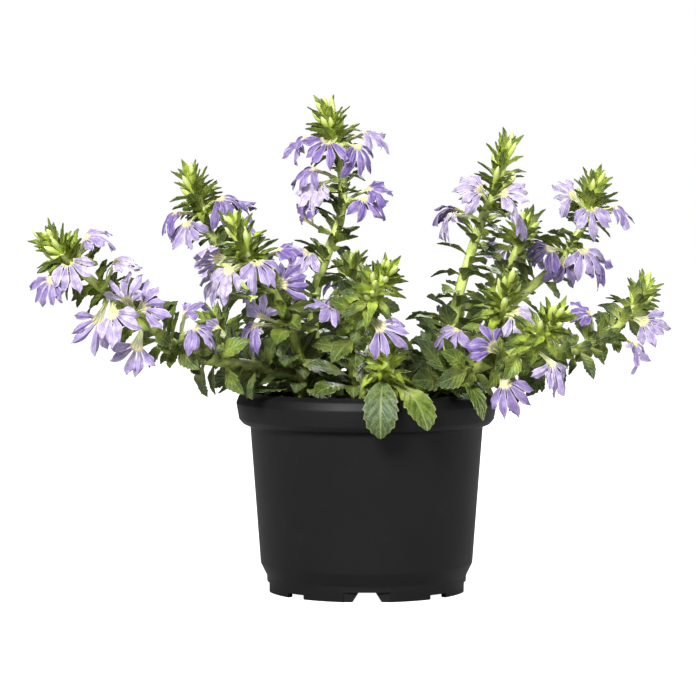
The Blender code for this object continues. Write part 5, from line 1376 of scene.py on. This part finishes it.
def living_leaf(tree, place, colours):
    """Leaf tissue, grown: waxy and soft-edged, bright yellow-green in the young bracts and deeper and
    greyer in old leaves, with a pale midrib, side veins and a fine down of hairs. A mottle darkens and
    lightens it in patches: partly its own uneven tone and partly painted highlight and shade."""
    across, along, chance, age = hint_sockets(tree)
    grown = add_node(tree, "Math", (chance, 0.4, age), operation="MULTIPLY_ADD")
    body = add_node(tree, "ValToRGB", (grown,), stops=(
        (0.0, colours.young_leaf), (0.24, "#9cb434"), (0.46, colours.leaf), (0.66, "#45591f"),
        (0.92, colours.old_leaf)))
    mottle = add_node(tree, "TexNoise", {"Vector": place, "Scale": per_mm(LEAF_MOTTLE), "Detail": 6.0,
                                         "Roughness": 0.65})
    fresh = add_node(tree, "MapRange", (age, 0.3, 0.8, 0.75, 0.2))
    foot = add_node(tree, "MapRange", (along, 0.05, 0.7, fresh, 0.0))
    pale = add_node(tree, "Mix", {SHARE: foot, FIRST: body, SECOND: linear("#c8d05e")}, **COLOUR_MIX)
    end = add_node(tree, "MapRange", (along, 0.55, 1.0, 0.0, 0.75))
    tipped = add_node(tree, "Mix", {SHARE: end, FIRST: pale, SECOND: linear("#3e4a18")}, **COLOUR_MIX)
    # The mottle scales the colour from 0.48 to 1.5: partly the leaf's own uneven tone and partly painted
    # highlight and shade
    tone_and_painted_light = add_node(tree, "MapRange", (mottle, 0.32, 0.68, 0.48, 1.5))
    mottled_with_painted_light = add_node(tree, "Mix", {SHARE: 1.0, FIRST: tipped, SECOND: tone_and_painted_light}, blend_type="MULTIPLY",
                       **COLOUR_MIX)
    off_rib = add_node(tree, "Math", (across,), operation="ABSOLUTE")
    rib = add_node(tree, "MapRange", (off_rib, 0.02, 0.1, 0.36, 0.0))
    margin = add_node(tree, "MapRange", (off_rib, 0.88, 1.0, 0.0, 0.36))
    slope = add_node(tree, "Math", (off_rib, -VEIN_SLOPE, along), operation="MULTIPLY_ADD")
    veins = add_node(tree, "Math", (slope, VEINS), operation="MULTIPLY")
    ridges = add_node(tree, "Math", (veins,), operation="SINE")
    furrow = add_node(tree, "MapRange", (ridges, -0.75, -1.0, 0.0, 0.14))
    down = add_node(tree, "TexNoise", {"Vector": place, "Scale": per_mm(LEAF_HAIRS), "Detail": 3.0,
                                       "Roughness": 0.7})
    hairs = add_node(tree, "MapRange", (down, 0.54, 0.72, 0.0, 0.4))
    lines = rib
    for more in (margin, furrow, hairs):
        lines = add_node(tree, "Math", (lines, more), operation="MAXIMUM")
    hairy = add_node(tree, "Mix", {SHARE: lines, FIRST: mottled_with_painted_light, SECOND: linear("#b4c07a")}, **COLOUR_MIX)
    relief = add_node(tree, "Math", (ridges, 0.35, down), operation="MULTIPLY_ADD")
    bump = add_node(tree, "Bump", {"Height": relief, "Strength": 0.6, "Distance": 0.0004})
    rough = add_node(tree, "MapRange", (mottle, 0.0, 1.0, 0.24, 0.5))
    return {"Base Color": hairy, "Roughness": rough, "Normal": bump, "IOR": 1.42,
            "Subsurface Weight": 0.05, "Subsurface Radius": (0.0012, 0.0016, 0.0004)}


def living_stem(tree, place, colours):
    """Herbaceous stem, grown: smooth with fine ribs, pale yellow-green, turning dull brown-green where
    it is old and woody."""
    across, _, _, age = hint_sockets(tree)
    streaks = add_node(tree, "TexNoise", {"Vector": place, "Scale": per_mm(STEM_STREAKS), "Detail": 5.0})
    worn = add_node(tree, "Math", (streaks, 0.75, age), operation="MULTIPLY_ADD")
    colour = add_node(tree, "ValToRGB", (worn,), stops=(
        (0.25, "#e2eca8"), (0.47, colours.stem), (0.62, "#a0b052"), (0.85, "#666b3c")))
    ribs = add_node(tree, "Math", (across, STEM_GROOVES), operation="MULTIPLY")
    ridges = add_node(tree, "Math", (ribs,), operation="SINE")
    bump = add_node(tree, "Bump", {"Height": ridges, "Strength": 0.3, "Distance": 0.0002})
    return {"Base Color": colour, "Roughness": 0.5, "Normal": bump, "Subsurface Weight": 0.1,
            "Subsurface Radius": (0.001, 0.0014, 0.0004)}


def closed_bud(tree, place, colours):
    """Bud tissue, grown: downy, and green that turns paler towards its tip."""
    _, along, chance, _ = hint_sockets(tree)
    open_share = add_node(tree, "Math", (chance, 0.22, along), operation="MULTIPLY_ADD")
    colour = add_node(tree, "ValToRGB", (open_share,), stops=(
        (0.1, "#a2ba40"), (0.5, colours.bud), (0.8, "#c6d472"), (1.0, "#d0d898")))
    down = add_node(tree, "TexNoise", {"Vector": place, "Scale": per_mm(BUD_DOWN), "Detail": 2.0})
    bump = add_node(tree, "Bump", {"Height": down, "Strength": 0.25, "Distance": 0.00015})
    return {"Base Color": colour, "Roughness": 0.48, "Normal": bump, "Subsurface Weight": 0.15,
            "Subsurface Radius": (0.0015, 0.0018, 0.0008)}


def fan_petal(tree, place, colours):
    """Petal tissue, grown: thin and velvety, lilac with deeper ribs and paler wavy wings, a yellow-white
    throat, and a greenish tube with dull purple streaks. Painted shade darkens the folds across each lobe,
    and the dark lines at its ribs and margin are partly vein colour and partly painted shade."""
    across, along, chance, _ = hint_sockets(tree)
    mottle = add_node(tree, "TexNoise", {"Vector": place, "Scale": per_mm(PETAL_MOTTLE), "Detail": 4.0})
    own = add_node(tree, "Math", (chance, 0.6), operation="MULTIPLY")
    hue = add_node(tree, "Math", (mottle, 0.85, own), operation="MULTIPLY_ADD")
    body = add_node(tree, "ValToRGB", (hue,), stops=(
        (0.34, "#d6cbde"), (0.55, colours.petal), (0.8, "#8e7ab0"), (1.0, colours.petal_deep)))
    aside = add_node(tree, "Math", (across,), operation="ABSOLUTE")
    wing = add_node(tree, "MapRange", (aside, 0.55, 0.8, 0.0, 0.35))
    winged = add_node(tree, "Mix", {SHARE: wing, FIRST: body, SECOND: linear("#d6cce0")}, **COLOUR_MIX)
    # Dark lines along the midrib and side ribs are partly vein colour and partly painted shade in their
    # folds; the dark line at the margin is painted shade
    side = add_node(tree, "Math", (aside, 0.25), operation="PINGPONG")
    rib = add_node(tree, "MapRange", (side, 0.0, 0.08, 0.4, 0.0))
    veined_and_shaded = add_node(tree, "Mix", {SHARE: rib, FIRST: winged, SECOND: colours.petal_deep}, **COLOUR_MIX)
    stripes = add_node(tree, "Math", (across, TUBE_STREAKS), operation="MULTIPLY")
    streak = add_node(tree, "Math", (stripes,), operation="SINE")
    streaked = add_node(tree, "MapRange", (streak, 0.2, 1.0, 0.0, 0.6))
    tube = add_node(tree, "Mix", {SHARE: streaked, FIRST: linear("#dfe3b4"), SECOND: linear("#7a5a78")},
                    **COLOUR_MIX)
    throat = add_node(tree, "MapRange", (along, -0.25, 0.03, 0.0, 1.0))
    low = add_node(tree, "Mix", {SHARE: throat, FIRST: tube, SECOND: linear("#f4e9a8")}, **COLOUR_MIX)
    spread = add_node(tree, "MapRange", (along, -0.04, 0.12, 0.0, 1.0))
    colour = add_node(tree, "Mix", {SHARE: spread, FIRST: low, SECOND: veined_and_shaded}, **COLOUR_MIX)
    folds = add_node(tree, "Math", (across, LOBE_FOLDS), operation="MULTIPLY")
    fold = add_node(tree, "Math", (folds,), operation="COSINE")
    # Painted shade: the colour is darkened along each fold across the lobe, where shade would fall
    painted_fold_shade = add_node(tree, "MapRange", (fold, -1.0, -0.2, 0.7, 1.0))
    shaded_in_folds = add_node(tree, "Mix", {SHARE: 1.0, FIRST: colour, SECOND: painted_fold_shade}, blend_type="MULTIPLY",
                       **COLOUR_MIX)
    bump = add_node(tree, "Bump", {"Height": fold, "Strength": 0.3, "Distance": 0.0002})
    return {"Base Color": shaded_in_folds, "Roughness": 0.55, "Normal": bump, "Subsurface Weight": 0.12,
            "Subsurface Radius": (0.0018, 0.0014, 0.0024)}


def studio_paper(tree, place, colours):
    """Seamless studio paper: matt white, lit from beneath so that it shows as clean white."""
    fibre = add_node(tree, "TexNoise", {"Vector": place, "Scale": per_mm(PAPER_FIBRES), "Detail": 2.0})
    bump = add_node(tree, "Bump", {"Height": fibre, "Strength": 0.05, "Distance": 0.0001})
    seen = add_node(tree, "LightPath", output="Is Camera Ray")
    return {"Base Color": colours.paper, "Roughness": 0.9, "Normal": bump,
            "Emission Color": linear("#ffffff"), "Emission Strength": seen}


@lru_cache(maxsize=None)
def finish(maker):
    """The material that a maker describes, made once and shared by the pieces that have it."""
    made = bpy.data.materials.new(maker.__name__)
    made.use_nodes = True
    tree = made.node_tree
    place = add_node(tree, "TexCoord", output="Object")
    feed(tree.nodes["Principled BSDF"], maker(tree, place, bpy.context.scene.fan_flower_colours))
    return made


def evaluated_mesh(obj):
    """The object's mesh with its modifiers applied."""
    bpy.context.view_layer.update()
    graph = bpy.context.evaluated_depsgraph_get()
    return bpy.data.meshes.new_from_object(obj.evaluated_get(graph))


def place_piece(made, node):
    """The piece stands for its node, whose plain part it hides, and moves with the plant."""
    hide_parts(node)
    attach(made, "root")


def turned_object(name, profile, steps):
    """A turned body with a closed profile of (radius, height), from the axis back to the axis."""
    mesh = bpy.data.meshes.new(name)
    mesh.from_pydata([(r * MM, 0.0, z * MM) for r, z in profile], [], [])
    body = bmesh.new()
    body.from_mesh(mesh)
    body.verts.ensure_lookup_table()
    edges = [body.edges.new((a, b)) for a, b in zip(body.verts[:-1], body.verts[1:])]
    bmesh.ops.spin(body, geom=body.verts[:] + edges, cent=(0, 0, 0), axis=(0, 0, 1),
                   angle=2 * math.pi, steps=steps, use_merge=True)
    bmesh.ops.remove_doubles(body, verts=body.verts[:], dist=0.00001)
    bmesh.ops.recalc_face_normals(body, faces=body.faces[:])
    body.to_mesh(mesh)
    body.free()
    return add_object(name, mesh)


def block(top, foot, inner, height, azimuth):
    """A cutter that leaves the foot outwards: top and foot are its widths there."""
    body = bmesh.new()
    bmesh.ops.create_cube(body, size=1.0)
    for v in body.verts:
        radial = FOOT_OUTER + CUT_PAST if v.co.x > 0 else inner
        sideways = (top if v.co.z > 0 else foot) * v.co.y
        v.co = (MM * (radial * math.cos(azimuth) - sideways * math.sin(azimuth)),
                MM * (radial * math.sin(azimuth) + sideways * math.cos(azimuth)),
                MM * (height if v.co.z > 0 else -CUT_BELOW))
    return body


def eased(corners):
    """A profile with each of its sharp corners rounded to three points."""
    made = [corners[0]]
    for before, here, after in zip(corners, corners[1:], corners[2:]):
        before, here, after = np.array(before), np.array(here), np.array(after)
        back, on = before - here, after - here
        reach = min(CORNER_EASE, EASE_SHARE * np.linalg.norm(back), EASE_SHARE * np.linalg.norm(on))
        first, last = here + reach * unit(back), here + reach * unit(on)
        made += [tuple(first), tuple(0.25 * first + 0.5 * here + 0.25 * last), tuple(last)]
    return made + [corners[-1]]


def build_pot(sizes):
    """The nursery pot, with its rounded collar, tapered body, notched foot and drain holes."""
    pot = turned_object("nursery_pot", eased(POT_PROFILE), sizes.pot_steps)
    cutters = bmesh.new()
    for quarter in range(4):
        azimuth = (quarter - 1) * math.pi / 2
        recess, inside = FOOT_OUTER - NOTCH_DEPTH - NOTCH_FLAT, FOOT_INNER - CUT_INSIDE
        for body in (block(NOTCH_WIDTH, NOTCH_WIDTH, recess, NOTCH_HEIGHT, azimuth),
                     block(ARCH_TOP, ARCH_FOOT, inside, NOTCH_HEIGHT - ARCH_BELOW, azimuth),
                     block(SLOT_WIDTH, SLOT_WIDTH, inside, SLOT_HEIGHT, azimuth + math.pi / 4)):
            mesh = bpy.data.meshes.new("cutter")
            body.to_mesh(mesh)
            body.free()
            cutters.from_mesh(mesh)
            bpy.data.meshes.remove(mesh)
        drain = bmesh.ops.create_cone(cutters, cap_ends=True, segments=DRAIN_SIDES, depth=DRAIN_CUT * MM,
                                      radius1=DRAIN_RADIUS * MM, radius2=DRAIN_RADIUS * MM)
        bmesh.ops.translate(cutters, verts=drain["verts"], vec=(
            DRAIN_CIRCLE * math.cos(azimuth) * MM, DRAIN_CIRCLE * math.sin(azimuth) * MM,
            DRAIN_MIDDLE * MM))
    tools = add_object("tools", bpy.data.meshes.new("tools"))
    cutters.to_mesh(tools.data)
    cutters.free()
    cut = pot.modifiers.new("cut", "BOOLEAN")
    cut.operation = "DIFFERENCE"
    cut.object = tools
    cut.solver = "EXACT"
    cut.use_self = True
    mesh = evaluated_mesh(pot)
    pot.modifiers.clear()
    mesh.shade_smooth()
    mesh.set_sharp_from_angle(angle=CORNER_SHARP)
    mesh.materials.clear()
    mesh.materials.append(finish(moulded_polypropylene))
    pot.data = mesh
    bpy.data.objects.remove(tools)
    place_piece(pot, "pot")


def soil_height(x, y):
    """The soil's top: a low mound, with lumps about 10 to 20 mm apart that fade out at the wall."""
    r = math.hypot(x, y)
    lumps = math.sin(0.31 * x + 1.3) * math.cos(0.27 * y - 0.4) + 0.6 * math.sin(0.55 * x - 0.47 * y)
    edge = min(1.0, max(0.0, (LUMPS_END - r) / LUMPS_FADE))
    return SOIL_LEVEL + SOIL_MOUND * (1 - (r / MOUND_RADIUS) ** 2) + SOIL_RELIEF * lumps * edge


def build_soil(sizes):
    """The filling of potting soil: a crumbly top on the plain filling, with loose crumbs and fibres."""
    rng = random.Random(SEED)
    skin = Skin()
    steps = SOIL_STEPS
    top = np.linspace(SOIL_SIDES[-1][0], RIM_RADIUS - WALL - SOIL_GAP - 0.5, SOIL_RINGS)
    rings = [(r, None) for r in top] + list(SOIL_SIDES)
    points = []
    for r, z in rings:
        for k in range(steps):
            turn = 2 * math.pi * k / steps
            x, y = r * math.cos(turn), r * math.sin(turn)
            height = z
            if z is None:
                rough = noise.fractal(Vector((x, y, 0)) / CLOD_WIDTH, *CLOD_NOISE)
                height = soil_height(x, y) + CLOD_HEIGHT * rough * min(1.0, (CLODS_END - r) / CLODS_FADE)
            points.append((x, y, height))
    faces = [(a * steps + k, (a + 1) * steps + k, (a + 1) * steps + (k + 1) % steps,
              a * steps + (k + 1) % steps) for a in range(len(rings) - 1) for k in range(steps)]
    faces += [tuple(range(steps))]
    faces += [tuple(range((len(rings) - 1) * steps, len(rings) * steps))[::-1]]
    skin.add(points, faces, np.zeros((len(points), 2)), SOIL_PALENESS)
    crumb = bmesh.new()
    bmesh.ops.create_icosphere(crumb, subdivisions=1, radius=1.0)
    ball = np.array([v.co[:] for v in crumb.verts])
    ball_faces = [tuple(v.index for v in f.verts) for f in crumb.faces]
    crumb.free()
    for _ in range(sizes.crumbs):
        r, turn = CRUMBS_OUT * math.sqrt(rng.random()), rng.uniform(0, 2 * math.pi)
        x, y = r * math.cos(turn), r * math.sin(turn)
        size = rng.uniform(*CRUMB_RADIUS) * (LARGE_CRUMB if rng.random() < LARGE_CRUMBS else 1.0)
        stretch = [rng.uniform(*CRUMB_STRETCH), rng.uniform(*CRUMB_STRETCH), rng.uniform(*CRUMB_FLATNESS)]
        if rng.random() < FIBRES:
            stretch = [rng.uniform(*FIBRE_STRETCH), *FIBRE_FLATNESS]
        bumps = CRUMB_ROUGH * np.array([[rng.uniform(-1, 1)] for _ in ball])
        lump = ball * (1 + bumps) * np.array(stretch) * size
        heading = rng.uniform(0, 2 * math.pi)
        c, s = math.cos(heading), math.sin(heading)
        lump = np.column_stack([lump[:, 0] * c - lump[:, 1] * s, lump[:, 0] * s + lump[:, 1] * c,
                                lump[:, 2]])
        skin.add(lump + (x, y, soil_height(x, y) + CRUMB_ABOVE * size), ball_faces,
                 np.zeros((len(lump), 2)), rng.random() ** 2)
    place_piece(skin.piece("crumbly_soil", [potting_soil]), "soil")


def build_stem(name, organs, route):
    """One leafy stem with its leaves, bracts and buds, in the place of its plain solid."""
    skin = Skin()
    rng = random.Random(name)
    broad_ages = iter(BROAD_AGES.get(name, ()))
    add_stem(skin, route, organs, rng)
    for organ in organs:
        down = 1 - how_far_up(route, organ.form[0]) / route.length
        if organ.kind == "bud":
            add_bud(skin, organ, rng)
        elif organ.kind == "broad":
            add_blade(skin, organ, next(broad_ages, BROAD_AGE), rng)
        elif organ.kind == "bract":
            darkness = min(1.0, down * route.length / BRACTS_DARKEN)
            add_blade(skin, organ, between(BRACT_AGES, darkness), rng)
        else:
            add_blade(skin, organ, between(LEAF_AGES, down), rng)
    made = skin.piece(f"leafy_{name}", [living_stem, living_leaf, closed_bud])
    place_piece(made, f"stem_{name}")


def build_bloom(node, organ):
    """One bloom or pair of blooms, in the place of its plain solid."""
    skin = Skin()
    rng = random.Random(node)
    for form in organ.form:
        add_bloom(skin, form, rng)
    made = skin.piece(node.replace("bloom_", "fan_bloom_"), [fan_petal, living_stem])
    place_piece(made, node)


def count_property(name, description, default, lowest, highest):
    """A whole number that a user can set."""
    return bpy.props.IntProperty(name=name, description=description, default=default, min=lowest,
                                 max=highest)


def colour_property(name, description, code):
    """A colour that a user can pick, with its default as sRGB hex."""
    return bpy.props.FloatVectorProperty(name=name, description=description, default=linear(code), size=4,
                                         min=0.0, max=1.0, subtype="COLOR")


class FanFlowerSizes(bpy.types.PropertyGroup):
    """Sizes and numbers that a user would change."""

    bracts: count_property("Bracts", "Bracts added at each tip past the solids", EXTRA_BRACTS, 0, 60)
    leaves: count_property("Leaves", "Leaves added past the solids on 100 mm of stem", EXTRA_LEAVES, 0, 80)
    close_leaves: count_property("Small leaves", "Small leaves added close to 100 mm of stem",
                                 CLOSE_LEAVES, 0, 60)
    pot_steps: count_property("Pot steps", "Flat faces round the pot", 144, 32, 256)
    crumbs: count_property("Crumbs", "Loose crumbs and fibres on the soil", 1400, 0, 4000)


class FanFlowerColours(bpy.types.PropertyGroup):
    """Colours that a user would change."""

    petal: colour_property("Petal", "Lobes of a bloom in the middle of its life", "#ab9cc3")
    # Deep petal is the deepest tone of the lobes, and also colours their dark rib and margin lines, which are
    # partly painted shade
    petal_deep: colour_property("Deep petal", "Deepest folds and ribs of the lobes", "#705a9e")
    young_leaf: colour_property("Young leaf", "Bracts at the tips of the stems", "#bed444")
    leaf: colour_property("Leaf", "Grown leaves", "#687f28")
    old_leaf: colour_property("Old leaf", "Large old leaves low on the plant", "#3f5436")
    bud: colour_property("Bud", "Closed buds", "#bac95a")
    stem: colour_property("Stem", "Upright young stems", "#c6d672")
    pot: colour_property("Pot", "Plastic of the pot", "#131314")
    soil: colour_property("Soil", "Moist potting soil", "#3a2416")
    paper: colour_property("Paper", "Studio paper, before the light beneath it", "#a8a8a8")


class FanFlowerStudio(bpy.types.PropertyGroup):
    """The stage round the plant."""

    camera_height: bpy.props.FloatProperty(
        name="Camera height", description="Height of the camera above the floor", default=0.202,
        unit="LENGTH", subtype="DISTANCE")
    camera_distance: bpy.props.FloatProperty(
        name="Camera distance", description="Distance from the pot's axis to the camera", default=1.5,
        unit="LENGTH", subtype="DISTANCE")
    camera_drop: bpy.props.FloatProperty(
        name="Camera drop", description="How far the camera looks down", default=0.054,
        unit="ROTATION", subtype="ANGLE")
    lens: bpy.props.FloatProperty(
        name="Lens", description="Focal length on a 36 mm sensor", default=155.88, subtype="DISTANCE_CAMERA")
    world_strength: bpy.props.FloatProperty(
        name="World", description="Strength of the even white light", default=0.13, min=0.0)
    key_strength: bpy.props.FloatProperty(
        name="Key", description="Power of the main soft light", default=54.0, unit="POWER", subtype="POWER")


def planned(context):
    """The plan for the sizes that the user has set."""
    sizes = context.scene.fan_flower_sizes
    return plan(sizes.bracts, sizes.leaves, sizes.close_leaves)


class FANFLOWER_OT_pot(bpy.types.Operator):
    """Builds the moulded nursery pot"""

    bl_idname = "fanflower.pot"
    bl_label = "Nursery pot"

    def execute(self, context):
        build_pot(context.scene.fan_flower_sizes)
        return {"FINISHED"}


class FANFLOWER_OT_soil(bpy.types.Operator):
    """Fills the pot with crumbly potting soil"""

    bl_idname = "fanflower.soil"
    bl_label = "Potting soil"

    def execute(self, context):
        build_soil(context.scene.fan_flower_sizes)
        return {"FINISHED"}


class FANFLOWER_OT_stems(bpy.types.Operator):
    """Grows the leafy stems with their bracts and buds"""

    bl_idname = "fanflower.stems"
    bl_label = "Leafy stems"

    def execute(self, context):
        _, green, routes = planned(context)
        for name, organs in green.items():
            build_stem(name, organs, routes[name])
        return {"FINISHED"}


class FANFLOWER_OT_blooms(bpy.types.Operator):
    """Opens the blooms on their stems"""

    bl_idname = "fanflower.blooms"
    bl_label = "Blooms"

    def execute(self, context):
        for node, organ in planned(context)[0].items():
            build_bloom(node, organ)
        return {"FINISHED"}


class FANFLOWER_OT_studio(bpy.types.Operator):
    """Sets up the white floor, the soft lights and the camera"""

    bl_idname = "fanflower.studio"
    bl_label = "Studio"

    def execute(self, context):
        studio = context.scene.fan_flower_studio
        body = bmesh.new()
        bmesh.ops.create_grid(body, x_segments=FLOOR_SQUARES, y_segments=FLOOR_SQUARES, size=FLOOR_REACH)
        mesh = bpy.data.meshes.new("studio_floor")
        body.to_mesh(mesh)
        body.free()
        mesh.materials.append(finish(studio_paper))
        floor = add_object("studio_floor", mesh)

        world = bpy.data.worlds.new("studio")
        context.scene.world = world
        world.use_nodes = True
        tree = world.node_tree
        seen = add_node(tree, "LightPath", output="Is Camera Ray")
        strength = add_node(tree, "MapRange", (seen, 0.0, 1.0, studio.world_strength, 1.0))
        feed(tree.nodes["Background"], {"Color": linear("#ffffff"), "Strength": strength})

        for name, place, size, share in LIGHTS:
            data = bpy.data.lights.new(name, "AREA")
            data.size = size
            data.energy = share * studio.key_strength
            light = add_object(name, data)
            light.location = place
            aim = Vector(LIGHTS_AIM) - Vector(place)
            light.rotation_euler = aim.to_track_quat("-Z", "Y").to_euler()

        data = bpy.data.cameras.new("camera")
        data.sensor_width = SENSOR_WIDTH
        data.lens = studio.lens
        camera = add_object("camera", data)
        camera.location = (CAMERA_ASIDE, -studio.camera_distance, studio.camera_height)
        camera.rotation_euler = (math.pi / 2 - studio.camera_drop, 0.0, 0.0)
        context.scene.camera = camera
        context.scene.view_settings.view_transform = "Standard"
        return {"FINISHED"}


OPERATORS = (FANFLOWER_OT_studio, FANFLOWER_OT_pot, FANFLOWER_OT_soil, FANFLOWER_OT_stems,
             FANFLOWER_OT_blooms)


class FANFLOWER_PT_panel(bpy.types.Panel):
    """Shows the sizes, colours and studio settings, and a button for each builder"""

    bl_idname = "FANFLOWER_PT_panel"
    bl_label = "Fan flower"
    bl_space_type = "VIEW_3D"
    bl_region_type = "UI"
    bl_category = "Fan flower"

    def draw(self, context):
        scene = context.scene
        for group in (scene.fan_flower_sizes, scene.fan_flower_colours, scene.fan_flower_studio):
            for name in group.bl_rna.properties.keys():
                if name not in ("rna_type", "name"):
                    self.layout.prop(group, name)
        for operator in OPERATORS:
            self.layout.operator(operator.bl_idname)


CLASSES = (FanFlowerSizes, FanFlowerColours, FanFlowerStudio, *OPERATORS, FANFLOWER_PT_panel)


def register():
    for cls in CLASSES:
        bpy.utils.register_class(cls)
    bpy.types.Scene.fan_flower_sizes = bpy.props.PointerProperty(type=FanFlowerSizes)
    bpy.types.Scene.fan_flower_colours = bpy.props.PointerProperty(type=FanFlowerColours)
    bpy.types.Scene.fan_flower_studio = bpy.props.PointerProperty(type=FanFlowerStudio)


def unregister():
    del bpy.types.Scene.fan_flower_studio
    del bpy.types.Scene.fan_flower_colours
    del bpy.types.Scene.fan_flower_sizes
    for cls in reversed(CLASSES):
        bpy.utils.unregister_class(cls)


def main():
    register()
    bpy.ops.fanflower.studio()
    bpy.ops.fanflower.pot()
    bpy.ops.fanflower.soil()
    bpy.ops.fanflower.stems()
    bpy.ops.fanflower.blooms()


if __name__ == "__main__":
    main()
